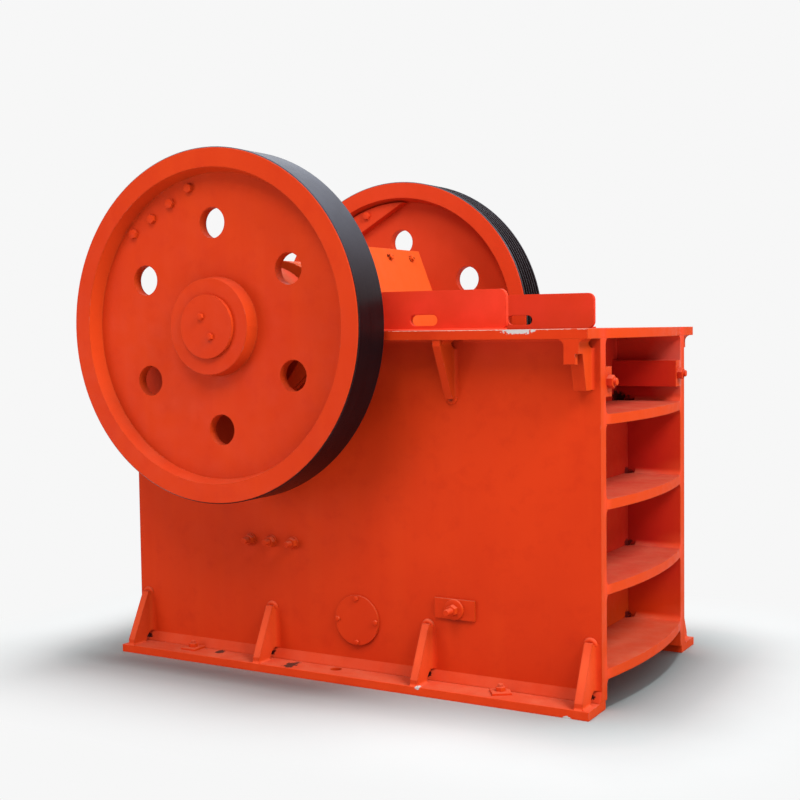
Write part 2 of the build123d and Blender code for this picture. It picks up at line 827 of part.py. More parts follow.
# Balance weights bolted inside the two wheels
weight_angle = math.radians(counterweight_angle)
with BuildPart() as counterweights:
    for side, weight_depth in ((-1, flywheel_weight_depth), (1, sheave_weight_depth)):
        weight_plane = Plane(
            origin=(x_axis, side * wheel_web_inner, axis_height),
            x_dir=(math.cos(weight_angle), 0, math.sin(weight_angle)),
            z_dir=(0, -1, 0),
        )
        with BuildSketch(weight_plane):
            Circle(weight_radius)
            chord = weight_radius - weight_depth
            span(-weight_radius - cut_overrun, chord, -weight_radius, weight_radius, Mode.SUBTRACT)
        extrude(amount=side * weight_thickness)
counterweights.part.label = "counterweights"
export_step(counterweights.part, "parts/counterweights.step")

# Round caps on the shaft ends
with BuildPart() as wheel_caps:
    for side, side_name in sides:
        with BuildSketch(across(side * wheel_hub_face)):
            disc(x_axis, axis_height, wheel_cap_radius)
        extrude(amount=-side * wheel_cap_thickness)
wheel_caps.part.label = "wheel_caps"
export_step(wheel_caps.part, "parts/wheel_caps.step")

# Pitman casting: head, front plate, upright webs, toggle socket and rod lugs
head_at = in_jaw_plane(x_axis + crank_x, axis_height + crank_z)
socket_at = in_jaw_plane(toggle_x + crank_x, toggle_z + crank_z)
pin_x = access_x + crank_x
pin_z = access_z + crank_z
plate_front = -swing_jaw_thickness
plate_back = plate_front - front_plate_thickness
pad_face = head_at[0] + head_radius + splash_pad_rise
web_starts = (
    -pitman_half,
    -web_offset - web_thickness / 2,
    web_offset - web_thickness / 2,
    pitman_half - web_thickness,
)
with BuildPart() as pitman:
    with BuildSketch(jaw_plane):
        span(plate_back, plate_front, 0, jaw_length)
    extrude(amount=pitman_half, both=True)
    with BuildSketch(jaw_plane):
        disc(*head_at, head_radius)
        span(pad_face - splash_pad_depth, pad_face, jaw_length, jaw_length + splash_pad_length)
        span(pad_face - splash_pad_depth, plate_back, jaw_length - splash_pad_depth, jaw_length)
    extrude(amount=pitman_half, both=True)
    for web_start in web_starts:
        with BuildSketch(jaw_plane.offset(-web_start)):
            span(plate_back, plate_front, 0, jaw_length - 2 * splash_pad_depth)
            disc(*head_at, web_head_radius)
            disc(*socket_at, boss_radius)
            make_hull()
        extrude(amount=-web_thickness)
    with BuildSketch(jaw_plane):
        disc(*socket_at, boss_radius)
        span(socket_at[0], plate_back, socket_at[1] - boss_radius, socket_at[1] + boss_radius)
    extrude(amount=pitman_half, both=True)
    for side, side_name in sides:
        with BuildSketch(across(side * lug_inner)):
            disc(pin_x, pin_z, lug_end_radius)
            disc(toggle_x + crank_x, toggle_z + crank_z, boss_radius)
            make_hull()
        extrude(amount=-side * lug_plate_thickness)
    with BuildSketch(across(0)):
        disc(x_axis + crank_x, axis_height + crank_z, eccentric_journal_radius + running_clearance)
    extrude(amount=pitman_half + cut_overrun, both=True, mode=Mode.SUBTRACT)
    socket_origin = toggle_plane.origin + Vector(crank_x, 0, crank_z)
    with BuildSketch(Plane(socket_origin, toggle_plane.x_dir, toggle_plane.z_dir)):
        Circle(socket_radius)
        span(0, toggle_slot_length, -socket_radius, socket_radius)
    extrude(amount=toggle_half + toggle_side_clearance, both=True, mode=Mode.SUBTRACT)
    with BuildSketch(across(0)):
        disc(pin_x, pin_z, eye_radius + eccentric_throw + eye_relief)
    extrude(amount=lug_inner, both=True, mode=Mode.SUBTRACT)
    with BuildSketch(across(0)):
        disc(pin_x, pin_z, pin_radius)
    extrude(amount=pin_half_length, both=True, mode=Mode.SUBTRACT)
pitman.part.label = "pitman"
export_step(pitman.part, "parts/pitman.step")

# Pin that the eye of the tension rod hangs round
with BuildPart() as rod_pin:
    with BuildSketch(across(0)):
        disc(pin_x, pin_z, pin_radius)
    extrude(amount=pin_half_length, both=True)
rod_pin.part.label = "rod_pin"
export_step(rod_pin.part, "parts/rod_pin.step")

# Swing jaw plate, its teeth half a pitch from those of the fixed plate
with BuildPart() as swing_jaw_plate:
    with BuildSketch(Plane(jaw_plane.origin, x_dir=jaw_plane.x_dir, z_dir=(-lean_sin, 0, lean_cos))):
        Polygon(*toothed_outline(0, plate_front, jaw_half, 1 / 2), align=None)
    extrude(amount=jaw_length)
swing_jaw_plate.part.label = "swing_jaw_plate"
export_step(swing_jaw_plate.part, "parts/swing_jaw_plate.step")

# Wedge that clamps the top of the swing jaw plate
wedge_top = jaw_length + wedge_height
with BuildPart() as swing_jaw_wedge:
    with BuildSketch(jaw_plane):
        Polygon(
            (pad_face, jaw_length),
            (-wedge_setback, jaw_length),
            (-wedge_setback, jaw_length + wedge_tip_height),
            (pad_face, wedge_top),
            align=None,
        )
    extrude(amount=pitman_half - wedge_inset, both=True)
swing_jaw_wedge.part.label = "swing_jaw_wedge"
export_step(swing_jaw_wedge.part, "parts/swing_jaw_wedge.step")

# Splash plate above the swing jaw
splash_start = wedge_top + splash_plate_lift
with BuildPart() as splash_plate:
    with BuildSketch(jaw_plane):
        span(pad_face, pad_face + splash_plate_thickness, splash_start, splash_start + splash_plate_length)
    extrude(amount=inner_half - splash_gap, both=True)
splash_plate.part.label = "splash_plate"
export_step(splash_plate.part, "parts/splash_plate.step")

# Round covers on the ends of the pitman head
with BuildPart() as pitman_covers:
    for side, side_name in sides:
        with BuildSketch(across(side * pitman_half)):
            disc(x_axis + crank_x, axis_height + crank_z, pitman_cover_radius)
            disc(
                x_axis + crank_x,
                axis_height + crank_z,
                eccentric_journal_radius + running_clearance,
                Mode.SUBTRACT,
            )
        extrude(amount=-side * pitman_cover_thickness)
pitman_covers.part.label = "pitman_covers"
export_step(pitman_covers.part, "parts/pitman_covers.step")
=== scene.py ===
import json
import math

import bmesh
import bpy
from mathutils import Matrix, Vector

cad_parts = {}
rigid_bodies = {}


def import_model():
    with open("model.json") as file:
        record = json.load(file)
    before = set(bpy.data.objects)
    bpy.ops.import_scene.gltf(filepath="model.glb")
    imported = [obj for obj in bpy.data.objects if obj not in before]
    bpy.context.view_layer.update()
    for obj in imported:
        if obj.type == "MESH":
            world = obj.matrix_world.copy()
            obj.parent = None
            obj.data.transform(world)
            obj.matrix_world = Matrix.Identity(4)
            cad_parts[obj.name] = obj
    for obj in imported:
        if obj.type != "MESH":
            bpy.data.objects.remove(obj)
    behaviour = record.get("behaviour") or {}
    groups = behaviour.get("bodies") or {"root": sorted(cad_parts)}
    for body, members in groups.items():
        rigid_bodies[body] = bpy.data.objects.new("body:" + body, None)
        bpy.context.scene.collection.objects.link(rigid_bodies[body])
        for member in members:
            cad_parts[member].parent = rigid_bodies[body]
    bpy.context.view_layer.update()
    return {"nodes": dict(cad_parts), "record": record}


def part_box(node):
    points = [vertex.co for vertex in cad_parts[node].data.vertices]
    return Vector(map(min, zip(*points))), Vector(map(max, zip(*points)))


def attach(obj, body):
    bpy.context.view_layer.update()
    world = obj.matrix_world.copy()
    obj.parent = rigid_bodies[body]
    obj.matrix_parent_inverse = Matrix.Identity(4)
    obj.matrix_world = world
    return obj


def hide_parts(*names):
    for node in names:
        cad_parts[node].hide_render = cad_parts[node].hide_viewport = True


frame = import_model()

nodes = frame["nodes"]
slot_of = {part["node"]: part["material_slot"] for part in frame["record"]["subparts"]}
low = {name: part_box(name)[0] for name in nodes}
high = {name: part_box(name)[1] for name in nodes}
sides = (-1, 1)

# Places taken from the frame, in metres
wall_thickness = 0.050
front_edge = high["side_wall_left"].x
rear_edge = low["side_wall_left"].x
wall_inner = -high["side_wall_left"].y
wall_outer = wall_inner + wall_thickness
foot_top = high["foot_left"].z
flange_base = low["top_flange_left"].z
flange_top = high["top_flange_left"].z
flange_outer = high["top_flange_right"].y
rib_count, rib_thickness = 4, 0.035
rib_pitch = (high["front_ribs"].z - low["front_ribs"].z - rib_thickness) / (rib_count - 1)
rib_levels = [low["front_ribs"].z + index * rib_pitch for index in range(rib_count)]
bay_back = high["front_wall"].x
recess_back = low["side_bars"].x
gusset_x = (-0.988, -0.352, 0.352, 0.988)
gusset_half = 0.015
gusset_top = high["foot_gussets_left"].z
gusset_toe = -low["foot_gussets_left"].y
shaft = Vector(frame["record"]["behaviour"]["joints"][0]["pos_m"])
crank = Vector(frame["record"]["behaviour"]["joints"][1]["pos_m"])

# Lean of the swing jaw, and the line of bolts along its splash plate
jaw_run, jaw_rise = 0.425, 1.100
jaw_lean = math.atan2(jaw_run, jaw_rise)
jaw_out = Vector((math.cos(jaw_lean), 0, math.sin(jaw_lean)))
jaw_up = Vector((-math.sin(jaw_lean), 0, math.cos(jaw_lean)))
splash_thickness, splash_bolt_drop, splash_bolt_pitch = 0.016, 0.045, 0.182
splash_corner = Vector((low["splash_plate"].x, 0, high["splash_plate"].z))
splash_bolt_line = splash_corner + jaw_out * splash_thickness - jaw_up * splash_bolt_drop

# Covers and tie plates on the side walls, and the painted shadow below them
shadow_drop = 0.030
cover_middle = (low["inspection_covers"] + high["inspection_covers"]) / 2
cover_radius = (high["inspection_covers"].x - low["inspection_covers"].x) / 2
cover_foot = (cover_middle.x, wall_outer, cover_middle.z - shadow_drop)
tie_middle = (low["tie_plates"] + high["tie_plates"]) / 2
tie_foot = (tie_middle.x, wall_outer, low["tie_plates"].z)


# Camera
def place_camera():
    """Camera at the photograph's viewpoint."""
    yaw, pitch, roll = (math.radians(angle) for angle in (29.962, 3.224, -0.780))
    viewpoint = (2.58836, -4.52865, 1.32430)
    focal_pixels, image_pixels, sensor_width, far_limit = 1271.97, 800, 36, 100
    forward = Vector((-math.sin(yaw) * math.cos(pitch), math.cos(yaw) * math.cos(pitch), -math.sin(pitch)))
    level = Vector((math.cos(yaw), math.sin(yaw), 0))
    rise = level.cross(forward)
    right = level * math.cos(roll) + rise * math.sin(roll)
    up = rise * math.cos(roll) - level * math.sin(roll)
    bpy.ops.object.camera_add()
    camera = bpy.context.object
    camera.name = "photo_camera"
    turn = Matrix((right, up, -forward)).transposed().to_4x4()
    camera.matrix_world = Matrix.Translation(viewpoint) @ turn
    camera.data.sensor_width = sensor_width
    camera.data.lens = focal_pixels / image_pixels * sensor_width
    camera.data.clip_end = far_limit
    bpy.context.scene.camera = camera


# Shader nodes
def add_node(tree, kind, inputs=(), **settings):
    """A new node with its settings, and values or links on its inputs."""
    made = tree.nodes.new(kind)
    for key, value in settings.items():
        setattr(made, key, value)
    for key, value in dict(inputs).items():
        if isinstance(value, bpy.types.NodeSocket):
            tree.links.new(value, made.inputs[key])
        else:
            made.inputs[key].default_value = value
    return made


def mix_colour(tree, factor, first, second):
    """Colour that goes from the first to the second as the factor rises."""
    inputs = {0: factor, 6: first, 7: second}
    return add_node(tree, "ShaderNodeMix", inputs, data_type="RGBA", blend_type="MIX").outputs[2]


def mix_value(tree, factor, first, second):
    """Value that goes from the first to the second as the factor rises."""
    return add_node(tree, "ShaderNodeMix", {0: factor, 2: first, 3: second}).outputs[0]


def maths(tree, operation, first, second=0.0):
    """Result of one sum on two values."""
    return add_node(tree, "ShaderNodeMath", {0: first, 1: second}, operation=operation).outputs[0]


def vector_maths(tree, operation, *vectors):
    """Outputs of one sum on vectors."""
    return add_node(tree, "ShaderNodeVectorMath", enumerate(vectors), operation=operation).outputs


def tinted(tree, mask, share, colour, tint):
    """Colour with a share of a tint where the mask shows."""
    return mix_colour(tree, maths(tree, "MULTIPLY", mask, share), colour, tint)


def ramp(tree, value, start, end, low_value=0.0, high_value=1.0):
    """Value stretched from one range to another and held at its ends."""
    inputs = {"Value": value, "From Min": start, "From Max": end, "To Min": low_value, "To Max": high_value}
    return add_node(tree, "ShaderNodeMapRange", inputs).outputs[0]


def noise(tree, where, scale, detail=4.0, roughness=0.55):
    """Cloudy noise at a scale per metre."""
    inputs = {"Vector": where, "Scale": scale, "Detail": detail, "Roughness": roughness}
    return add_node(tree, "ShaderNodeTexNoise", inputs).outputs["Fac"]


def stretched(tree, where, scale):
    """Coordinates scaled by their own amount along each axis."""
    return add_node(tree, "ShaderNodeMapping", {"Vector": where, "Scale": scale}).outputs[0]


def object_place(tree):
    """Object coordinates."""
    return add_node(tree, "ShaderNodeTexCoord").outputs["Object"]


def surface_normal(tree):
    """Direction that the surface faces."""
    return add_node(tree, "ShaderNodeNewGeometry").outputs["Normal"]


def axes_of(tree, vector):
    """Parts of a vector along each axis."""
    return add_node(tree, "ShaderNodeSeparateXYZ", {0: vector}).outputs


def from_axes(tree, x, y, z):
    """Vector from its parts along each axis."""
    return add_node(tree, "ShaderNodeCombineXYZ", {"X": x, "Y": y, "Z": z}).outputs[0]


def open_sky(tree, reach):
    """Share of the surroundings that stands open within a reach."""
    return add_node(tree, "ShaderNodeAmbientOcclusion", {"Distance": reach}, samples=1).outputs["AO"]


def new_group(name, takes, gives):
    """Shader node group with named inputs and outputs."""
    group = bpy.data.node_groups.new(name, "ShaderNodeTree")
    for label, kind, start in takes:
        group.interface.new_socket(label, in_out="INPUT", socket_type=kind).default_value = start
    for label, kind in gives:
        group.interface.new_socket(label, in_out="OUTPUT", socket_type=kind)
    return group, group.nodes.new("NodeGroupInput").outputs, group.nodes.new("NodeGroupOutput").inputs


def place_group(tree, group, inputs):
    """Outputs of one placed copy of a node group."""
    return add_node(tree, "ShaderNodeGroup", inputs, node_tree=group).outputs


# Effects that several finishes share
def make_edge_wear_and_highlight():
    """Masks of the edges and of their rubbed patches, and a normal that rounds the edges."""
    takes = [("Reach", "NodeSocketFloat", 0.006), ("Break", "NodeSocketFloat", 30.0)]
    gives = [("Edge", "NodeSocketFloat"), ("Rub", "NodeSocketFloat"), ("Soft", "NodeSocketVector")]
    group, given, result = new_group("edge_wear_and_highlight", takes, gives)
    rounded = add_node(group, "ShaderNodeBevel", {"Radius": given["Reach"]}, samples=2).outputs[0]
    along = vector_maths(group, "DOT_PRODUCT", rounded, surface_normal(group))["Value"]
    edge = ramp(group, along, 0.985, 0.80)
    patches = ramp(group, noise(group, object_place(group), given["Break"], 6.0, 0.7), 0.47, 0.62)
    group.links.new(edge, result["Edge"])
    group.links.new(maths(group, "MULTIPLY", edge, patches), result["Rub"])
    group.links.new(rounded, result["Soft"])
    return group


def make_corner_shade_and_grime():
    """Masks of painted shade with grimy soiling in the inner corners, and of painted shade in the hollows
    that little light reaches.
    """
    # Heights over which the painted shade and grime come in above the floor
    no_darkening_below, full_darkening_above, hollow_reach = 0.18, 0.34, 0.45
    takes = [("Reach", "NodeSocketFloat", 0.09), ("Patch", "NodeSocketFloat", 7.0)]
    gives = [("ShadeAndGrime", "NodeSocketFloat"), ("HollowShade", "NodeSocketFloat")]
    group, given, result = new_group("corner_shade_and_grime", takes, gives)
    closed = ramp(group, open_sky(group, given["Reach"]), 0.62, 0.12)
    patches = ramp(group, noise(group, object_place(group), given["Patch"], 5.0, 0.6), 0.35, 0.7, 0.25, 1.0)
    place = axes_of(group, object_place(group))
    above = ramp(group, place["Z"], no_darkening_below, full_darkening_above)
    closed = maths(group, "MULTIPLY", closed, above)
    group.links.new(maths(group, "MULTIPLY", closed, patches), result["ShadeAndGrime"])
    # Painted shade: the hollows inside the frame below the flange go darker where little sky is open
    wide_sky = open_sky(group, hollow_reach)
    between = ramp(group, maths(group, "ABSOLUTE", place["Y"]), wall_inner + 0.012, wall_inner + 0.004)
    below = ramp(group, place["Z"], flange_base + 0.004, flange_base - 0.004)
    within = maths(group, "MULTIPLY", between, below)
    deep = maths(group, "MULTIPLY", ramp(group, wide_sky, 0.62, 0.20), above)
    group.links.new(maths(group, "MULTIPLY", deep, within), result["HollowShade"])
    return group


def make_paint_film():
    """Colour, gloss and height of brushed machine enamel with cloudy shade and faint runs."""
    run_stretch = (14, 14, 0.8)
    takes = [
        ("Paint", "NodeSocketColor", (0.7, 0.05, 0.01, 1)),
        ("Deep", "NodeSocketColor", (0.5, 0.03, 0.01, 1)),
        ("Bright", "NodeSocketColor", (0.85, 0.09, 0.02, 1)),
    ]
    gives = [("Colour", "NodeSocketColor"), ("Gloss", "NodeSocketFloat"), ("Height", "NodeSocketFloat")]
    group, given, result = new_group("paint_film", takes, gives)
    where = object_place(group)
    clouds = ramp(group, noise(group, where, 1.6, 3.0), 0.40, 0.72, 0.0, 0.38)
    runs = ramp(group, noise(group, stretched(group, where, run_stretch), 1.0, 6.0), 0.48, 0.75, 0.0, 0.12)
    blotches = ramp(group, noise(group, where, 11.0, 5.0, 0.65), 0.52, 0.70, 0.0, 0.25)
    colour = mix_colour(group, clouds, given["Paint"], given["Deep"])
    colour = mix_colour(group, runs, colour, given["Bright"])
    colour = mix_colour(group, blotches, colour, given["Deep"])
    group.links.new(colour, result["Colour"])
    group.links.new(ramp(group, noise(group, where, 16.0, 5.0), 0.3, 0.7, 0.38, 0.58), result["Gloss"])
    peel = maths(group, "MULTIPLY", noise(group, where, 240.0, 3.0), 0.25)
    waves = maths(group, "MULTIPLY", noise(group, where, 26.0, 4.0), 0.75)
    group.links.new(maths(group, "ADD", peel, waves), result["Height"])
    return group


def make_dust_and_top_light():
    """Mask of a pale dusty film and painted top light on faces that look up."""
    takes, gives = [("Amount", "NodeSocketFloat", 0.5)], [("DustAndTopLight", "NodeSocketFloat")]
    group, given, result = new_group("dust_and_top_light", takes, gives)
    upward = ramp(group, axes_of(group, surface_normal(group))["Z"], 0.15, 0.85)
    patches = ramp(group, noise(group, object_place(group), 9.0, 7.0, 0.65), 0.38, 0.70, 0.45, 1.0)
    dust_and_light = maths(group, "MULTIPLY", maths(group, "MULTIPLY", upward, patches), given["Amount"])
    group.links.new(dust_and_light, result["DustAndTopLight"])
    return group


def new_mark(name, reach):
    """Group for one mark about a place, and the distance from there as a share of its reach."""
    takes = [
        ("Where", "NodeSocketVector", (0, 0, 0)),
        ("Place", "NodeSocketVector", (0, 0, 0)),
        ("Reach", "NodeSocketVector", (reach, reach, reach)),
    ]
    group, given, result = new_group(name, takes, [("Mark", "NodeSocketFloat")])
    offset = vector_maths(group, "SUBTRACT", given["Where"], given["Place"])[0]
    share = vector_maths(group, "DIVIDE", offset, given["Reach"])[0]
    return group, vector_maths(group, "LENGTH", share)["Value"], result["Mark"]


def make_ragged_mark():
    """Mask of one ragged mark about a place."""
    group, far, mark = new_mark("ragged_mark", 0.05)
    edge = ramp(group, noise(group, object_place(group), 60.0, 6.0, 0.7), 0.3, 0.7, -0.45, 0.45)
    group.links.new(ramp(group, maths(group, "ADD", far, edge), 0.85, 0.70), mark)
    return group


def make_haze():
    """Soft mask that fades out with the distance from a place."""
    group, far, mark = new_mark("haze", 0.1)
    clouds = ramp(group, noise(group, object_place(group), 9.0, 5.0), 0.35, 0.65, 0.70, 1.0)
    group.links.new(maths(group, "MULTIPLY", ramp(group, far, 1.0, 0.1), clouds), mark)
    return group


edge_wear_and_highlight = make_edge_wear_and_highlight()
corner_shade_and_grime = make_corner_shade_and_grime()
paint_film = make_paint_film()
dust_and_top_light = make_dust_and_top_light()
ragged_mark = make_ragged_mark()
haze = make_haze()

# Tints of dirt and wear, and of painted light, shade, shadow and highlight
corner_shade_and_dirt = (0.07, 0.006, 0.005, 1)
pale_dust_and_top_light = (0.70, 0.26, 0.15, 1)
edge_highlight_and_worn_paint = (0.92, 0.13, 0.035, 1)
rubbed_primer = (0.50, 0.44, 0.40, 1)
muted_bounce = (0.18, 0.045, 0.04, 1)
bare = (0.60, 0.54, 0.52, 1)
painted_dark_shade = (0.05, 0.006, 0.005, 1)
rust = (0.10, 0.035, 0.025, 1)
flange_edge_painted_highlight = (0.74, 0.46, 0.38, 1)
cope_painted_shade = (0.14, 0.010, 0.009, 1)
top_bay_dust_and_light = (0.72, 0.17, 0.12, 1)
bay_corner_painted_light = (0.78, 0.070, 0.022, 1)
guard_painted_light = (0.90, 0.056, 0.026, 1)
foot_edge_painted_light = (0.86, 0.064, 0.012, 1)
gusset_painted_light = (0.82, 0.090, 0.028, 1)
cover_painted_shadow = (0.12, 0.008, 0.004, 1)
tie_painted_shadow = (0.26, 0.014, 0.005, 1)
sheave_painted_light = (0.78, 0.061, 0.019, 1)
bolt_recess_painted_shade = (0.12, 0.012, 0.005, 1)
metal_corner_shade_and_grime = (0.012, 0.010, 0.009, 1)


# Materials
def new_material(name, specular, **constants):
    """Material with its own Principled shader: the material, its tree and the shader's inputs."""
    material = bpy.data.materials.new(name)
    material.use_nodes = True
    shader = material.node_tree.nodes["Principled BSDF"]
    shader.inputs["Specular IOR Level"].default_value = specular
    for key, value in constants.items():
        shader.inputs[key].default_value = value
    return material, material.node_tree, shader.inputs


def set_bump(tree, shader, height, strength, distance, soft=None):
    """Bump on a shader from a height value, over a normal that rounds the edges where there is one."""
    inputs = {"Height": height, "Strength": strength, "Distance": distance}
    if soft:
        inputs["Normal"] = soft
    tree.links.new(add_node(tree, "ShaderNodeBump", inputs).outputs[0], shader["Normal"])


def painted(tree, paint, deep, bright, painted_front_shading, shade, dust_and_light_amount, large):
    """Worn enamel with painted light, shade and highlight: colour, gloss, height and, on large pieces, a
    normal that rounds the edges.
    """
    film = place_group(tree, paint_film, {"Paint": paint, "Deep": deep, "Bright": bright})
    shade_and_grime_masks = place_group(tree, corner_shade_and_grime, {"Reach": 0.10, "Patch": 6.0})
    dust_and_light = place_group(tree, dust_and_top_light, {"Amount": dust_and_light_amount})["DustAndTopLight"]
    # Painted light and shade: faces that look along +X take their own lighter or darker tone, less inside
    # shaded hollows
    forward = ramp(tree, axes_of(tree, surface_normal(tree))["X"], 0.60, 0.95, 0.0, 0.7)
    open_front = maths(tree, "SUBTRACT", forward, shade_and_grime_masks["HollowShade"])
    colour = mix_colour(tree, ramp(tree, open_front, 0, 1), film["Colour"], painted_front_shading)
    # Painted shade: hollows inside the frame take the shade colour
    colour = tinted(tree, shade_and_grime_masks["HollowShade"], 0.85, colour, shade)
    # Painted shade and grime: inner corners go darker
    colour = tinted(tree, shade_and_grime_masks["ShadeAndGrime"], 0.40, colour, corner_shade_and_dirt)
    # Pale dusty film and painted top light on faces that look up
    colour = mix_colour(tree, dust_and_light, colour, pale_dust_and_top_light)
    soft = None
    if large:
        edge_masks = place_group(tree, edge_wear_and_highlight, {"Reach": 0.005, "Break": 26.0})
        # Painted highlight and wear: edges take a brighter orange
        colour = tinted(tree, edge_masks["Edge"], 0.25, colour, edge_highlight_and_worn_paint)
        rubbed = ramp(tree, edge_masks["Rub"], 0.80, 1.0, 0.0, 0.30)
        colour = mix_colour(tree, rubbed, colour, rubbed_primer)
        soft = edge_masks["Soft"]
    bounce = add_node(tree, "ShaderNodeLightPath").outputs["Is Diffuse Ray"]
    colour = tinted(tree, bounce, 0.42, colour, muted_bounce)
    return colour, film["Gloss"], film["Height"], soft


def add_mark(tree, kind, colour, where, place, reach, tint):
    """Colour with one mark of a kind about a place."""
    mark = place_group(tree, kind, {"Where": where, "Place": place, "Reach": reach})["Mark"]
    return mix_colour(tree, mark, colour, tint)


def frame_enamel(name, large):
    """Orange-red enamel of the frame, with chips on the flange, scrapes on the feet, grimy bays darkened by
    painted shade, and patches of painted light, shadow and highlight.
    """
    material, tree, shader = new_material(name, 0.035)
    colour, gloss, height, soft = painted(
        tree,
        paint=(0.70, 0.044, 0.0075, 1),
        deep=(0.52, 0.022, 0.0055, 1),
        bright=(0.82, 0.080, 0.012, 1),
        painted_front_shading=(0.62, 0.060, 0.008, 1),
        shade=(0.55, 0.007, 0.014, 1),
        dust_and_light_amount=0.40,
        large=large,
    )
    # The same place on both halves, in all quarters or in every bay below the flange
    where = object_place(tree)
    x, y, z = axes_of(tree, where)
    above_rib = maths(tree, "SUBTRACT", z, rib_levels[0] + rib_thickness)
    shelf = maths(tree, "PINGPONG", above_rib, rib_pitch / 2)
    shelf = maths(tree, "ADD", shelf, maths(tree, "GREATER_THAN", z, flange_base))
    along, across = maths(tree, "ABSOLUTE", x), maths(tree, "ABSOLUTE", y)
    bays = from_axes(tree, x, across, shelf)
    halves = from_axes(tree, x, across, z)
    quarters = from_axes(tree, along, across, z)
    top_bay_floor = rib_levels[3] + rib_thickness + 0.012
    cover_reach = cover_radius + 0.006
    cope_shade_reach = (0.026, 0.012, 0.014)
    gusset_reach = (0.040, 0.090, 0.20)
    hazes = (
        # Pale dusty film that also lightens the shaded upper part of the top bay: partly painted light
        (where, (front_edge, wall_inner, 1.15), (0.15, 0.020, 0.17), top_bay_dust_and_light),
        # Painted light: lightens the lower front corners of every bay
        (bays, (front_edge, wall_inner, 0.01), (0.12, 0.040, 0.06), bay_corner_painted_light),
        # Painted light: lightens the guards
        (halves, (0.45, 0.430, 1.40), (1.60, 0.060, 0.30), guard_painted_light),
        # Painted light: lightens the outer edges of the feet
        (halves, (0.0, 0.590, 0.015), (2.00, 0.020, 0.05), foot_edge_painted_light),
        # Painted light: lightens the sides of the front gussets
        (quarters, (gusset_x[2], 0.530, 0.130), gusset_reach, gusset_painted_light),
        (quarters, (gusset_x[3], 0.530, 0.130), gusset_reach, gusset_painted_light),
        # Painted shadow below the inspection covers and the tie plates
        (halves, cover_foot, (cover_reach, 0.005, cover_reach), cover_painted_shadow),
        (halves, tie_foot, (0.085, 0.005, 0.020), tie_painted_shadow),
    )
    marks = (
        # Painted highlight along the top outer edge of the flange
        (halves, (0.66, flange_outer, flange_top), (0.55, 0.020, 0.0030), flange_edge_painted_highlight),
        (where, (0.784, -flange_outer, 1.312), (0.076, 0.030, 0.016), bare),
        (where, (0.371, -0.588, 0.029), (0.013, 0.030, 0.008), bare),
        (where, (0.951, -0.588, 0.002), (0.020, 0.030, 0.008), bare),
        (where, (-0.216, -0.535, 0.030), (0.032, 0.052, 0.020), rust),
        (where, (-0.589, -0.502, 0.030), (0.028, 0.026, 0.020), rust),
        # Painted shade at the rib copes in the back corners of every bay
        (bays, (bay_back, wall_inner - 0.018, 0.004), (0.030, 0.034, 0.024), cope_painted_shade),
        # Painted shade: a dark patch at the back of the top bay's floor
        (halves, (recess_back, wall_inner - 0.020, top_bay_floor), (0.060, 0.044, 0.034), painted_dark_shade),
        # Painted shade in the copes at the foot of the front gussets
        (quarters, (gusset_x[3], 0.474, 0.050), cope_shade_reach, painted_dark_shade),
        (quarters, (gusset_x[2], 0.474, 0.050), cope_shade_reach, painted_dark_shade),
    )
    for entry in hazes:
        colour = add_mark(tree, haze, colour, *entry)
    for entry in marks:
        colour = add_mark(tree, ragged_mark, colour, *entry)
    tree.links.new(colour, shader["Base Color"])
    tree.links.new(gloss, shader["Roughness"])
    set_bump(tree, shader, height, 0.25, 0.002, soft)
    return material


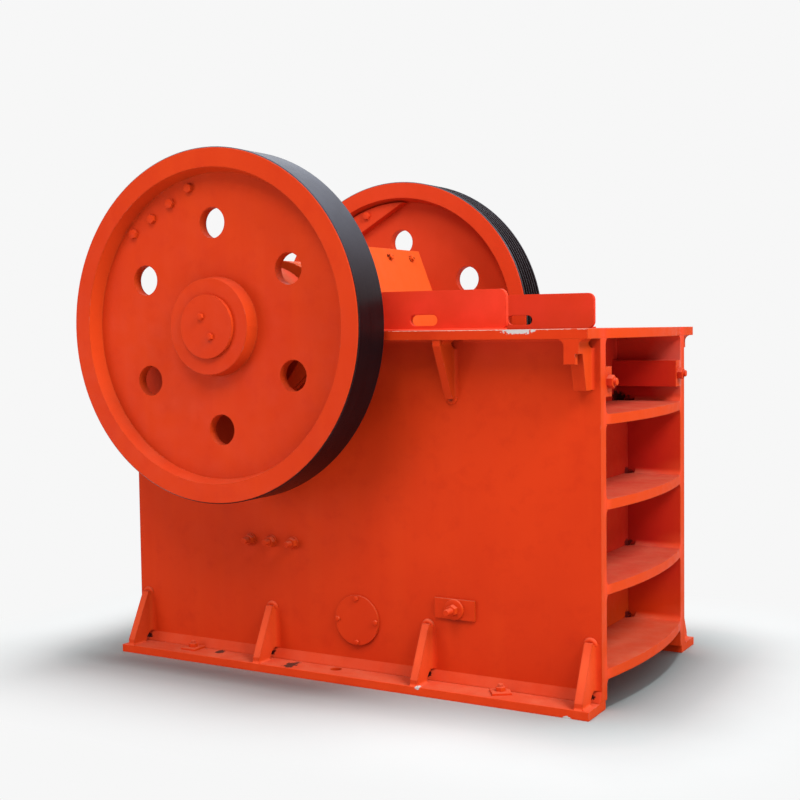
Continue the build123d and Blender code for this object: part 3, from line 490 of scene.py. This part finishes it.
def wheel_enamel(name, large):
    """Orange-red enamel of the wheels, with their rims turned bare and darkened, and painted light, shade and
    reflection.
    """
    inner_face, outer_face, rim_root = (0.6160, 0.6175), (0.7900, 0.7885), (0.6385, 0.6400)
    groove_shade = (0.658, 0.650)
    black_steel, grey_steel = (0.010, 0.003, 0.004, 1), (0.018, 0.008, 0.009, 1)
    painted_sky_reflection, smudge = (0.15, 0.165, 0.21, 1), (0.016, 0.012, 0.014, 1)
    groove_painted_shade, rim_edge_highlight_and_wear = (0.004, 0.004, 0.004, 1), (0.20, 0.21, 0.23, 1)
    material, tree, shader = new_material(name, 0.05)
    colour, gloss, height, soft = painted(
        tree,
        paint=(0.685, 0.046, 0.0074, 1),
        deep=(0.56, 0.026, 0.0060, 1),
        bright=(0.84, 0.085, 0.013, 1),
        painted_front_shading=(0.76, 0.070, 0.011, 1),
        shade=(0.60, 0.032, 0.008, 1),
        dust_and_light_amount=0.12,
        large=large,
    )
    where = object_place(tree)
    # Painted light: the sheave is lightened
    colour = add_mark(tree, haze, colour, where, (shaft.x, 0.70, shaft.z), (1.6, 0.40, 1.6), sheave_painted_light)
    about = vector_maths(tree, "SUBTRACT", where, tuple(shaft))[0]
    flat = vector_maths(tree, "MULTIPLY", about, (1, 0, 1))[0]
    radius = vector_maths(tree, "LENGTH", flat)["Value"]
    width = maths(tree, "ABSOLUTE", axes_of(tree, where)["Y"])
    within = maths(tree, "MULTIPLY", ramp(tree, width, *inner_face), ramp(tree, width, *outer_face))
    rim = maths(tree, "MULTIPLY", within, ramp(tree, radius, *rim_root))
    turning = noise(tree, stretched(tree, about, (2.5, 420, 2.5)), 1.0, 5.0, 0.6)
    smudges = ramp(tree, noise(tree, where, 5.0, 6.0, 0.65), 0.40, 0.75, 0.0, 0.7)
    # Painted reflection: the bare rim turns pale blue-grey where it faces up
    upward = ramp(tree, axes_of(tree, surface_normal(tree))["Z"], 0.10, 0.90)
    steel = mix_colour(tree, ramp(tree, turning, 0.35, 0.70), black_steel, grey_steel)
    steel = mix_colour(tree, maths(tree, "POWER", upward, 1.6), steel, painted_sky_reflection)
    steel = tinted(tree, smudges, 0.5, steel, smudge)
    # Painted shade: the belt grooves go near black
    steel = mix_colour(tree, ramp(tree, radius, *groove_shade), steel, groove_painted_shade)
    edge_masks = place_group(tree, edge_wear_and_highlight, {"Reach": 0.004, "Break": 14.0})
    # Painted highlight and wear: pale lines along the rim's edges
    steel = tinted(tree, edge_masks["Edge"], 0.30, steel, rim_edge_highlight_and_wear)
    colour = mix_colour(tree, rim, colour, steel)
    tree.links.new(colour, shader["Base Color"])
    tree.links.new(maths(tree, "MULTIPLY", rim, 0.30), shader["Metallic"])
    rim_gloss = ramp(tree, turning, 0.3, 0.7, 0.26, 0.40)
    tree.links.new(mix_value(tree, rim, gloss, rim_gloss), shader["Roughness"])
    set_bump(tree, shader, mix_value(tree, rim, height, turning), 0.22, 0.002, soft)
    return material


def pitman_enamel(name, large):
    """Brighter orange enamel of the swing jaw casting, with painted shade round the splash plate's bolts."""
    material, tree, shader = new_material(name, 0.08)
    colour, gloss, height, soft = painted(
        tree,
        paint=(0.82, 0.088, 0.012, 1),
        deep=(0.66, 0.060, 0.010, 1),
        bright=(0.92, 0.170, 0.025, 1),
        painted_front_shading=(0.86, 0.105, 0.016, 1),
        shade=(0.60, 0.050, 0.010, 1),
        dust_and_light_amount=0.12,
        large=large,
    )
    # Painted shade round the splash plate's bolts
    x, y, z = axes_of(tree, object_place(tree))
    from_bolt = maths(tree, "SUBTRACT", y, splash_bolt_pitch / 2)
    from_bolt = maths(tree, "PINGPONG", from_bolt, splash_bolt_pitch / 2)
    beside_bolt = from_axes(tree, x, from_bolt, z)
    bolt_place = (splash_bolt_line.x, 0, splash_bolt_line.z)
    colour = add_mark(tree, ragged_mark, colour, beside_bolt, bolt_place, (0.017, 0.019, 0.017), bolt_recess_painted_shade)
    tree.links.new(colour, shader["Base Color"])
    tree.links.new(gloss, shader["Roughness"])
    set_bump(tree, shader, height, 0.3, 0.002, soft)
    return material


def metal(name, dark, pale, shine, grain_scale, gloss_range, bump_depth, stretch=(1, 1, 1)):
    """Bare metal with grain, rubbed edges and grimy corners that also carry painted shade."""
    material, tree, shader = new_material(name, 0.5, Metallic=shine)
    where = stretched(tree, object_place(tree), stretch)
    grain = noise(tree, where, grain_scale, 7.0, 0.62)
    stains = ramp(tree, noise(tree, object_place(tree), 6.0, 5.0), 0.42, 0.70, 0.0, 0.6)
    edge_masks = place_group(tree, edge_wear_and_highlight, {"Reach": 0.006, "Break": 20.0})
    corner_darkening = place_group(tree, corner_shade_and_grime, {"Reach": 0.06, "Patch": 12.0})["ShadeAndGrime"]
    stained = tuple(0.5 * part for part in dark[:3]) + (1,)
    rubbed = tuple(min(1, 1.6 * part) for part in pale[:3]) + (1,)
    colour = mix_colour(tree, ramp(tree, grain, 0.3, 0.72), dark, pale)
    colour = mix_colour(tree, stains, colour, stained)
    colour = tinted(tree, edge_masks["Edge"], 0.5, colour, rubbed)
    # Painted shade and grime in the corners
    colour = tinted(tree, corner_darkening, 0.6, colour, metal_corner_shade_and_grime)
    tree.links.new(colour, shader["Base Color"])
    tree.links.new(ramp(tree, grain, 0.3, 0.7, *gloss_range), shader["Roughness"])
    set_bump(tree, shader, grain, 0.45, bump_depth, edge_masks["Soft"])
    return material


finishes = {
    "frame_paint": frame_enamel("frame_enamel", True),
    "wheel_paint": wheel_enamel("wheel_enamel", True),
    "pitman_paint": pitman_enamel("pitman_enamel", True),
    "jaw_steel": metal(
        "rough_manganese_steel",
        dark=(0.070, 0.066, 0.062, 1),
        pale=(0.17, 0.16, 0.15, 1),
        shine=0.75,
        grain_scale=55,
        gloss_range=(0.50, 0.72),
        bump_depth=0.004,
    ),
    "bare_steel": metal(
        "turned_steel",
        dark=(0.26, 0.26, 0.27, 1),
        pale=(0.46, 0.46, 0.47, 1),
        shine=0.95,
        grain_scale=30,
        gloss_range=(0.28, 0.45),
        bump_depth=0.001,
        stretch=(1, 9, 1),
    ),
    "cast_iron": metal(
        "greased_cast_iron",
        dark=(0.07, 0.066, 0.062, 1),
        pale=(0.17, 0.16, 0.15, 1),
        shine=0.7,
        grain_scale=90,
        gloss_range=(0.42, 0.66),
        bump_depth=0.003,
    ),
    "spring_steel": metal(
        "black_spring_steel",
        dark=(0.018, 0.018, 0.020, 1),
        pale=(0.05, 0.05, 0.055, 1),
        shine=0.3,
        grain_scale=70,
        gloss_range=(0.34, 0.52),
        bump_depth=0.001,
    ),
}
fine_finishes = {
    **finishes,
    "frame_paint": frame_enamel("frame_enamel_fine", False),
    "wheel_paint": wheel_enamel("wheel_enamel_fine", False),
    "pitman_paint": pitman_enamel("pitman_enamel_fine", False),
}
for node, slot in slot_of.items():
    for entry in nodes[node].material_slots:
        entry.material = finishes[slot]


# Modelling steps
def open_piece(name):
    """A new empty mesh at the origin, open in edit mode."""
    if bpy.context.mode != "OBJECT":
        bpy.ops.object.mode_set(mode="OBJECT")
    bpy.ops.object.select_all(action="DESELECT")
    bpy.ops.object.add(type="MESH", location=(0, 0, 0))
    piece = bpy.context.object
    piece.name = name
    piece.data.name = name
    bpy.ops.object.mode_set(mode="EDIT")
    bpy.ops.mesh.select_mode(type="VERT")
    return piece


def pick_faces(test):
    """Selects only the faces whose centre and normal pass the test."""
    bpy.ops.mesh.select_mode(type="FACE")
    bpy.ops.mesh.select_all(action="DESELECT")
    shape = bmesh.from_edit_mesh(bpy.context.edit_object.data)
    for face in shape.faces:
        face.select_set(test(face.calc_center_median(), face.normal))
    bmesh.update_edit_mesh(bpy.context.edit_object.data)


def pick_edges(test):
    """Selects only the edges whose two ends pass the test."""
    bpy.ops.mesh.select_mode(type="EDGE")
    bpy.ops.mesh.select_all(action="DESELECT")
    shape = bmesh.from_edit_mesh(bpy.context.edit_object.data)
    for edge in shape.edges:
        edge.select_set(all(test(vert.co) for vert in edge.verts))
    bmesh.update_edit_mesh(bpy.context.edit_object.data)


def close_piece(smooth_angle):
    """Turns the faces outward, closes edit mode and smooths the shading."""
    bpy.ops.mesh.select_all(action="SELECT")
    bpy.ops.mesh.normals_make_consistent(inside=False)
    bpy.ops.object.mode_set(mode="OBJECT")
    bpy.ops.object.shade_smooth_by_angle(angle=math.radians(smooth_angle))


def dress(piece, body, slot):
    """Body and material of a piece, the material picked by its slot."""
    piece.data.materials.clear()
    piece.data.materials.append(fine_finishes[slot])
    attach(piece, body)


def finish_piece(piece, body, slot, smooth_angle=40):
    """Closes a piece and gives it its body and finish."""
    close_piece(smooth_angle)
    dress(piece, body, slot)


def set_out(master, places, body, slot):
    """Copies of one fastener at each point, turned to face outward there and joined as one piece."""
    smooth_angle, turn_step = 35, 17
    close_piece(smooth_angle)
    bpy.ops.object.select_all(action="DESELECT")
    copies = []
    for index, (point, outward) in enumerate(places):
        copy = master.copy()
        copy.data = master.data.copy()
        bpy.context.collection.objects.link(copy)
        aim = Vector(outward).to_track_quat("Z", "Y").to_matrix().to_4x4()
        spin = Matrix.Rotation(math.radians(turn_step * index), 4, "Z")
        copy.matrix_world = Matrix.Translation(point) @ aim @ spin
        copies.append(copy)
    for copy in copies:
        copy.select_set(True)
    bpy.context.view_layer.objects.active = copies[0]
    bpy.ops.object.transform_apply(location=True, rotation=True, scale=True)
    bpy.ops.object.join()
    joined = bpy.context.object
    bpy.ops.object.transform_apply(location=True, rotation=True, scale=True)
    name = master.name
    bpy.data.objects.remove(master)
    joined.name = name
    joined.data.name = name
    dress(joined, body, slot)


def round_washer(radius, height):
    """Flat washer with a softened rim."""
    bpy.ops.mesh.primitive_cylinder_add(vertices=28, radius=radius, depth=height, location=(0, 0, height / 2))
    pick_edges(lambda point: height * 0.9 < point.z < height * 1.1)
    bpy.ops.mesh.bevel(offset=height * 0.25, segments=2, affect="EDGES")


def square_washer(side, height):
    """Square plate washer with softened upper edges."""
    bpy.ops.mesh.primitive_cube_add(size=1, location=(0, 0, height / 2), scale=(side, side, height))
    pick_edges(lambda point: point.z > height * 0.9)
    bpy.ops.mesh.bevel(offset=height * 0.18, segments=2, affect="EDGES")


def hex_nut(across, height, base=0.0):
    """Six-sided nut or bolt head with its top corners turned off."""
    corner, top = across / math.sqrt(3), base + height
    bpy.ops.mesh.primitive_cylinder_add(
        vertices=6, radius=corner, depth=height, location=(0, 0, base + height / 2)
    )
    pick_edges(lambda point: abs(point.z - top) < 1e-5)
    bpy.ops.mesh.bevel(offset=height * 0.14, segments=2, affect="EDGES")


def threaded_end(radius, length, base, pitch):
    """Stud end with turned threads."""
    root_share = 0.86
    turns = max(2, round(length / pitch))
    step = length / turns / 2
    bpy.ops.mesh.primitive_cylinder_add(
        vertices=18, radius=radius, depth=step, location=(0, 0, base + step / 2)
    )
    level = base + step

    def on_tip(centre, normal):
        return abs(centre.z - level) < 1e-5 and normal.z > 0.9 and centre.xy.length < radius * 0.3

    for turn in range(2 * turns - 1):
        ratio = root_share if turn % 2 == 0 else 1 / root_share
        pick_faces(on_tip)
        bpy.ops.mesh.extrude_region_move(TRANSFORM_OT_translate={"value": (0, 0, step)})
        level += step
        bpy.ops.transform.resize(value=(ratio, ratio, 1), center_override=(0, 0, level))


# Foundation bolts on square washers
foot_bolt_x, foot_bolt_y = (-0.719, 0.667), 0.510
foot_bolts = open_piece("foundation_bolts")
square_washer(side=0.070, height=0.008)
hex_nut(across=0.032, height=0.015, base=0.008)
threaded_end(radius=0.010, length=0.010, base=0.023, pitch=0.0025)
places = [((x, y, foot_top), (0, 0, 1)) for x in foot_bolt_x for y in (-foot_bolt_y, foot_bolt_y)]
set_out(foot_bolts, places, "frame", "frame_paint")

# Studs that hold the toggle rails to the walls
rail_stud_x, rail_stud_z = (-0.451, -0.351, -0.246), 0.492
rail_studs = open_piece("rail_studs")
round_washer(radius=0.025, height=0.005)
hex_nut(across=0.038, height=0.020, base=0.005)
threaded_end(radius=0.012, length=0.024, base=0.025, pitch=0.004)
places = [((x, side * wall_outer, rail_stud_z), (0, side, 0)) for x in rail_stud_x for side in sides]
set_out(rail_studs, places, "frame", "frame_paint")

# Screws of the inspection covers
cover_face, screw_circle = high["inspection_covers"].y, 0.084
cover_screws = open_piece("inspection_cover_screws")
hex_nut(across=0.017, height=0.008)
places = []
for side in sides:
    for angle in (0, 90, 180, 270):
        screw_x = cover_middle.x + screw_circle * math.cos(math.radians(angle))
        screw_z = cover_middle.z + screw_circle * math.sin(math.radians(angle))
        places.append(((screw_x, side * cover_face, screw_z), (0, side, 0)))
set_out(cover_screws, places, "frame", "frame_paint")

# Bolts that hold the lower cheek plates
tie_bolts = open_piece("cheek_plate_bolts")
round_washer(radius=0.038, height=0.009)
hex_nut(across=0.036, height=0.022, base=0.009)
threaded_end(radius=0.012, length=0.036, base=0.031, pitch=0.004)
places = [((tie_middle.x, side * high["tie_plates"].y, tie_middle.z), (0, side, 0)) for side in sides]
set_out(tie_bolts, places, "frame", "frame_paint")

# Nuts on the front ends of the side bars
bar_nut_y = wall_inner - 0.026
bar_nut_z = (low["side_bars"].z + high["side_bars"].z) / 2
bar_nuts = open_piece("side_bar_nuts")
hex_nut(across=0.041, height=0.022)
threaded_end(radius=0.0135, length=0.010, base=0.022, pitch=0.005)
places = [((front_edge, side * bar_nut_y, bar_nut_z), (1, 0, 0)) for side in sides]
set_out(bar_nuts, places, "frame", "frame_paint")

# Bolts of the balance weights, on the outside of the webs and on the weights inside
weight_angle = math.radians(120)
weight_out = Vector((math.cos(weight_angle), 0, math.sin(weight_angle)))
weight_beside = Vector((-math.sin(weight_angle), 0, math.cos(weight_angle)))
web_outer_face, weight_face = 0.733, 0.648
flywheel_row = (-1, 0.511, (-0.159, -0.053, 0.053, 0.159))
sheave_row = (1, 0.535, (-0.107, 0, 0.107))
weight_bolts = open_piece("balance_weight_bolts")
hex_nut(across=0.032, height=0.015)
places = []
for side, distance, offsets in (flywheel_row, sheave_row):
    for offset in offsets:
        point = shaft + weight_out * distance + weight_beside * offset
        places.append(((point.x, side * web_outer_face, point.z), (0, side, 0)))
        places.append(((point.x, side * weight_face, point.z), (0, -side, 0)))
set_out(weight_bolts, places, "rotor", "wheel_paint")

# Bolts of the shaft end caps
cap_face, cap_bolt_reach = high["wheel_caps"].y, 0.043
cap_bolts = open_piece("shaft_cap_bolts")
hex_nut(across=0.024, height=0.012)
places = []
for side in sides:
    for turn in (-1, 1):
        bolt_x = shaft.x + turn * cap_bolt_reach * weight_out.x
        bolt_z = shaft.z + turn * cap_bolt_reach * weight_out.z
        places.append(((bolt_x, side * cap_face, bolt_z), (0, side, 0)))
set_out(cap_bolts, places, "rotor", "wheel_paint")

# Bolts along the top of the splash plate, square to its face
splash_bolts = open_piece("splash_plate_bolts")
round_washer(radius=0.015, height=0.003)
hex_nut(across=0.024, height=0.010, base=0.003)
splash_bolt_y = [share * splash_bolt_pitch for share in (-1.5, -0.5, 0.5, 1.5)]
places = [((splash_bolt_line.x, y, splash_bolt_line.z), jaw_out) for y in splash_bolt_y]
set_out(splash_bolts, places, "pitman", "pitman_paint")

# Studs of the bearing caps
ear_top, ear_reach, ear_stud_y = shaft.z + 0.055, 0.262, (0.038, 0.124)
cap_studs = open_piece("bearing_cap_studs")
hex_nut(across=0.041, height=0.026)
threaded_end(radius=0.0135, length=0.018, base=0.026, pitch=0.005)
places = [
    ((shaft.x + along * ear_reach, side * (wall_inner + across), ear_top), (0, 0, 1))
    for side in sides
    for along in (-1, 1)
    for across in ear_stud_y
]
set_out(cap_studs, places, "frame", "frame_paint")


# Bolts of the bearing covers and the head covers
def ring_of_bolts(name, centre, radius, face, body, slot):
    """Hex bolts spaced round the rim of a cover on each side."""
    count = 8
    ring = open_piece(name)
    round_washer(radius=0.014, height=0.0025)
    hex_nut(across=0.022, height=0.0075, base=0.0025)
    places = []
    for side in sides:
        for index in range(count):
            angle = math.radians(360 / count * (index + 0.5))
            point = (centre.x + radius * math.cos(angle), side * face, centre.z + radius * math.sin(angle))
            places.append((point, (0, side, 0)))
    set_out(ring, places, body, slot)


bearing_face, head_face = high["bearing_covers"].y, high["pitman_covers"].y
ring_of_bolts("bearing_cover_bolts", shaft, 0.163, bearing_face, "frame", "frame_paint")
ring_of_bolts("head_cover_bolts", crank, 0.183, head_face, "pitman", "pitman_paint")


# Coiled spring of the tension rod
def coil_spring():
    """Round wire wound on the rod between the rear wall and the washer."""
    start, end = low["rod_spring"], high["rod_spring"]
    wire, turns, turn_steps = 0.0115, 6, 28
    mean_radius = (end.z - start.z) / 2 - wire
    spring = open_piece("tension_spring")
    bpy.ops.mesh.primitive_circle_add(
        vertices=14, radius=wire, location=(0, 0, mean_radius), rotation=(math.pi / 2, 0, 0)
    )
    bpy.ops.object.mode_set(mode="OBJECT")
    winding = spring.modifiers.new("winding", "SCREW")
    winding.axis = "X"
    winding.iterations = turns
    winding.screw_offset = (end.x - start.x - 2 * wire) / turns
    winding.steps = turn_steps
    winding.render_steps = turn_steps
    bpy.ops.object.modifier_apply(modifier="winding")
    spring.location = (start.x + wire, 0, (start.z + end.z) / 2)
    bpy.ops.object.transform_apply(location=True)
    bpy.ops.object.mode_set(mode="EDIT")
    bpy.ops.mesh.select_all(action="SELECT")
    bpy.ops.mesh.remove_doubles(threshold=0.00001)
    bpy.ops.mesh.select_mode(type="EDGE")
    bpy.ops.mesh.select_all(action="DESELECT")
    bpy.ops.mesh.select_non_manifold()
    bpy.ops.mesh.fill_holes(sides=0)
    finish_piece(spring, "frame", "spring_steel")
    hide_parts("rod_spring")


coil_spring()


# Welds
def bead(start, end, radius, seed):
    """Convex bead along a straight seam, a little uneven."""
    cut_length, unevenness = 0.02, 0.10
    start, end = Vector(start), Vector(end)
    run = end - start
    turn = run.to_track_quat("Z", "Y").to_euler()
    bpy.ops.mesh.select_mode(type="EDGE")
    bpy.ops.mesh.primitive_cylinder_add(
        vertices=10, radius=radius, depth=run.length, location=(start + end) / 2, rotation=turn
    )
    shape = bmesh.from_edit_mesh(bpy.context.edit_object.data)
    axis = run.normalized()
    for edge in shape.edges:
        if edge.select:
            edge.select_set(abs((edge.verts[1].co - edge.verts[0].co).normalized().dot(axis)) > 0.9)
    bmesh.update_edit_mesh(bpy.context.edit_object.data)
    bpy.ops.mesh.subdivide(number_cuts=max(2, min(40, int(run.length / cut_length))))
    bpy.ops.transform.vertex_random(offset=radius * unevenness, seed=seed)


# Beads where the guards stand on the flanges
guard_low, guard_high = low["hopper_guard_left"], high["hopper_guard_left"]
guard_welds = open_piece("guard_welds")
for seed, side in enumerate(sides):
    guard_face = side * (wall_inner + 0.020)
    bead((guard_low.x, guard_face, flange_top), (guard_high.x, guard_face, flange_top), 0.006, seed)
finish_piece(guard_welds, "frame", "frame_paint", 60)


# Rounded fillets where the bowed ribs meet the walls
def corner_fillet(corner, first, second, run, radius):
    """Concave fillet that fills the corner between two faces, along a run."""
    corner, first, second, run = Vector(corner), Vector(first), Vector(second), Vector(run)
    centre = corner + (first + second) * radius
    turn = run.to_track_quat("Z", "Y").to_euler()
    axis = run.normalized()

    def on_ring(vert):
        offset = vert.co - centre
        return abs(offset.length - radius) < 1e-5 and abs(offset.dot(axis)) < 1e-5

    def pick_ring(test):
        shape = bmesh.from_edit_mesh(bpy.context.edit_object.data)
        for vert in shape.verts:
            vert.select_set(on_ring(vert) and test(vert.co - centre))
        shape.select_flush_mode()
        bmesh.update_edit_mesh(bpy.context.edit_object.data)

    bpy.ops.mesh.select_mode(type="VERT")
    bpy.ops.mesh.primitive_circle_add(
        vertices=32, radius=radius, fill_type="NOTHING", location=centre, rotation=turn
    )
    bpy.ops.mesh.select_all(action="DESELECT")
    pick_ring(lambda offset: offset.dot(first) > radius * 0.01 or offset.dot(second) > radius * 0.01)
    bpy.ops.mesh.delete(type="VERT")
    pick_ring(lambda offset: True)
    bpy.ops.mesh.extrude_region_move(TRANSFORM_OT_translate={"value": (0, 0, 0)})
    bpy.ops.transform.resize(value=(0, 0, 0), center_override=corner)
    bpy.ops.mesh.select_linked()
    bpy.ops.mesh.remove_doubles(threshold=0.00001)
    bpy.ops.mesh.select_linked()
    bpy.ops.mesh.extrude_region_move(TRANSFORM_OT_translate={"value": run})


rib_fillet, rib_cope = 0.022, 0.032
bay_ends = (
    (bay_back + rib_cope, front_edge - bay_back - rib_cope),
    (low["rear_wall"].x - rib_cope, rear_edge - low["rear_wall"].x + rib_cope),
)
rib_fillets = open_piece("rib_fillets")
for side in sides:
    wall = side * wall_inner
    for begin, length in bay_ends:
        for level in rib_levels:
            top, base = (begin, wall, level + rib_thickness), (begin, wall, level)
            corner_fillet(top, (0, -side, 0), (0, 0, 1), (length, 0, 0), rib_fillet)
            corner_fillet(base, (0, -side, 0), (0, 0, -1), (length, 0, 0), rib_fillet)
    top_corner = (bay_back, wall, flange_base)
    corner_fillet(top_corner, (0, -side, 0), (0, 0, -1), (front_edge - bay_back, 0, 0), rib_fillet)
finish_piece(rib_fillets, "frame", "frame_paint", 30)


# Welds that run out smoothly from the gussets, lugs and flanges
def weld_arc(centre, radius, start, sweep, thick, steps):
    """Round bead along part of a circle that stands flat against a side wall."""
    centre = Vector(centre)
    angle = math.radians(start)
    point = centre + Vector((math.cos(angle), 0, math.sin(angle))) * radius
    tangent = Vector((-math.sin(angle), 0, math.cos(angle)))
    turn = tangent.to_track_quat("Z", "Y").to_euler()
    bpy.ops.mesh.select_mode(type="VERT")
    bpy.ops.mesh.select_all(action="DESELECT")
    bpy.ops.mesh.primitive_circle_add(
        vertices=12, radius=thick, fill_type="NGON", location=point, rotation=turn
    )
    bpy.ops.mesh.spin(steps=steps, angle=math.radians(sweep), center=centre, axis=(0, 1, 0))


foot_cope, foot_seam_start = 0.048, 0.042
wall_seam, foot_seam, toe_seam = 0.022, 0.010, 0.009
foot_welds = open_piece("foot_gusset_welds")
for side in sides:
    wall = side * wall_outer
    for x in gusset_x:
        for face in (-1, 1):
            seam = x + face * gusset_half
            corner = (seam, wall, foot_top + foot_seam_start)
            rise = (0, 0, gusset_top - foot_top - foot_cope)
            corner_fillet(corner, (face, 0, 0), (0, side, 0), rise, wall_seam)
            corner = (seam, wall + side * foot_cope, foot_top)
            reach = (0, side * (gusset_toe - wall_outer - foot_cope), 0)
            corner_fillet(corner, (face, 0, 0), (0, 0, 1), reach, foot_seam)
        toe = (x - gusset_half, side * gusset_toe, foot_top)
        corner_fillet(toe, (0, side, 0), (0, 0, 1), (2 * gusset_half, 0, 0), toe_seam)
        weld_arc((x, wall, gusset_top - 0.010), 0.017, 0, 180, 0.010, 14)
finish_piece(foot_welds, "frame", "frame_paint", 60)

flange_seam, head_seam, drop_seam, head_cope = 0.012, 0.024, 0.014, 0.034
bearing_rear, bearing_front, rib_gap, lug_gap = -0.690, -0.084, 0.050, 0.035
rib_x = (low["flange_gussets"].x + high["flange_gussets"].x) / 2
rib_rear, rib_front = rib_x - gusset_half, rib_x + gusset_half
rib_foot, rib_tip = low["flange_gussets"].z, gusset_toe - 0.010
lug_low, lug_high = low["lifting_lugs"], high["lifting_lugs"]
stops = ((rear_edge, bearing_rear), (bearing_front, rib_x - rib_gap), (rib_x + rib_gap, lug_low.x - lug_gap))
heads = (
    (rib_rear, -1, rib_tip),
    (rib_front, 1, rib_tip),
    (lug_low.x, -1, flange_outer),
    (lug_high.x, 1, flange_outer),
)
lug_drops = ((lug_low.x + 0.008, -1, 0.050), (lug_high.x, 1, 0.031))
flange_welds = open_piece("flange_welds")
for side in sides:
    wall = side * wall_outer
    for begin, finish in stops:
        length = (finish - begin, 0, 0)
        corner_fillet((begin, wall, flange_base), (0, side, 0), (0, 0, -1), length, flange_seam)
    for seam, face, tip in heads:
        corner = (seam, wall + side * head_cope, flange_base)
        reach = (0, side * (tip - wall_outer - head_cope), 0)
        corner_fillet(corner, (face, 0, 0), (0, 0, -1), reach, head_seam)
    for seam, face in ((rib_rear, -1), (rib_front, 1)):
        fall = (0, 0, rib_foot - flange_base + 0.036)
        corner_fillet((seam, wall, flange_base - head_cope), (face, 0, 0), (0, side, 0), fall, drop_seam)
    for seam, face, drop in lug_drops:
        fall = (0, 0, lug_low.z - flange_base + drop + 0.002)
        corner_fillet((seam, wall, flange_base - drop), (face, 0, 0), (0, side, 0), fall, drop_seam)
    weld_arc((rib_x, wall, rib_foot + 0.006), 0.017, 180, 180, 0.009, 14)
    weld_arc((shaft.x, wall, shaft.z), 0.290, 192, 156, 0.010, 60)
finish_piece(flange_welds, "frame", "frame_paint", 60)


# Floor, background and light
def pale_floor():
    """Pale floor that takes the shadow and fades into the background."""
    base_half = (1.03, 0.59, 0)
    first_paper, second_paper = (0.740, 0.780, 0.785, 1), (0.760, 0.800, 0.805, 1)
    bounce_cancelling_paper, background = (0.670, 0.780, 0.790, 1), (0.93, 0.93, 0.93, 1)
    bpy.ops.mesh.primitive_plane_add(size=60, location=(0, 0, 0))
    floor = bpy.context.object
    floor.name = "floor"
    material = bpy.data.materials.new("pale_paper")
    material.use_nodes = True
    tree = material.node_tree
    shader = tree.nodes["Principled BSDF"]
    shader.inputs["Specular IOR Level"].default_value = 0.0
    shader.inputs["Roughness"].default_value = 0.9
    where = object_place(tree)
    mottle = ramp(tree, noise(tree, where, 3.0), 0.3, 0.7)
    size = vector_maths(tree, "ABSOLUTE", where)[0]
    beyond = vector_maths(tree, "SUBTRACT", size, base_half)[0]
    beyond = vector_maths(tree, "MAXIMUM", beyond, (0, 0, 0))[0]
    far = vector_maths(tree, "LENGTH", beyond)["Value"]
    paper = mix_colour(tree, mottle, first_paper, second_paper)
    # Painted light: a cooler paper near the base cancels the red bounce from the machine
    paper = mix_colour(tree, ramp(tree, far, 0.30, 0.0), paper, bounce_cancelling_paper)
    tree.links.new(paper, shader.inputs["Base Color"])
    white = add_node(tree, "ShaderNodeEmission", {"Color": background})
    seen = add_node(tree, "ShaderNodeLightPath").outputs["Is Camera Ray"]
    fade = maths(tree, "MULTIPLY", seen, ramp(tree, far, 0.24, 0.92))
    blend = add_node(tree, "ShaderNodeMixShader", {0: fade, 1: shader.outputs[0], 2: white.outputs[0]})
    tree.links.new(blend.outputs[0], tree.nodes["Material Output"].inputs["Surface"])
    floor.data.materials.append(material)
    return floor


def studio_world():
    """Soft grey surround for light, white where the camera or a reflection sees it."""
    light_strength, seen_strength = 0.31, 0.93
    world = bpy.data.worlds.new("studio")
    bpy.context.scene.world = world
    world.use_nodes = True
    tree = world.node_tree
    tree.nodes["Background"].inputs["Color"].default_value = (1, 1, 1, 1)
    path = add_node(tree, "ShaderNodeLightPath").outputs
    seen = maths(tree, "MAXIMUM", path["Is Camera Ray"], path["Is Transmission Ray"])
    seen = maths(tree, "MAXIMUM", seen, path["Is Glossy Ray"])
    strength = ramp(tree, seen, 0, 1, light_strength, seen_strength)
    tree.links.new(strength, tree.nodes["Background"].inputs["Strength"])


def softbox(name, place, target, size, power):
    """Square soft lamp that looks at a target."""
    bpy.ops.object.light_add(type="AREA", location=place)
    lamp = bpy.context.object
    lamp.name = name
    lamp.data.size = size
    lamp.data.energy = power
    aim = Vector(target) - Vector(place)
    lamp.rotation_euler = aim.to_track_quat("-Z", "Y").to_euler()
    return lamp


def keep_light(lamps, floor, state):
    """Lamps that leave the floor out, or that light the floor alone."""
    lit = bpy.data.collections.new(state.lower() + "_floor")
    lit.objects.link(floor)
    lit.collection_objects[0].light_linking.link_state = state
    for lamp in lamps:
        lamp.light_linking.receiver_collection = lit


place_camera()
floor = pale_floor()
studio_world()
key = softbox("key_softbox", (0.4, -4.4, 6.0), (0, 0, 0.9), size=2.6, power=164)
front = softbox("front_softbox", (4.7, -1.5, 5.2), (1.0, 0, 0.7), size=2.5, power=360)
low_front = softbox("low_front_softbox", (5.2, -1.5, 1.0), (1.0, 0, 0.8), size=1.6, power=46)
fill = softbox("fill_softbox", (-3.5, -4.5, 0.8), (-0.3, -0.5, 0.2), size=2.4, power=80)
overhead = softbox("floor_softbox", (0.2, -0.10, 6.0), (0, 0, 0), size=2.6, power=415)
back = softbox("back_softbox", (-3.6, 4.4, 4.6), (0, 0, 0.9), size=2.6, power=150)
back.visible_glossy = False
keep_light([key, front, low_front, fill, back], floor, "EXCLUDE")
keep_light([overhead], floor, "INCLUDE")
bpy.context.scene.view_settings.view_transform = "Standard"
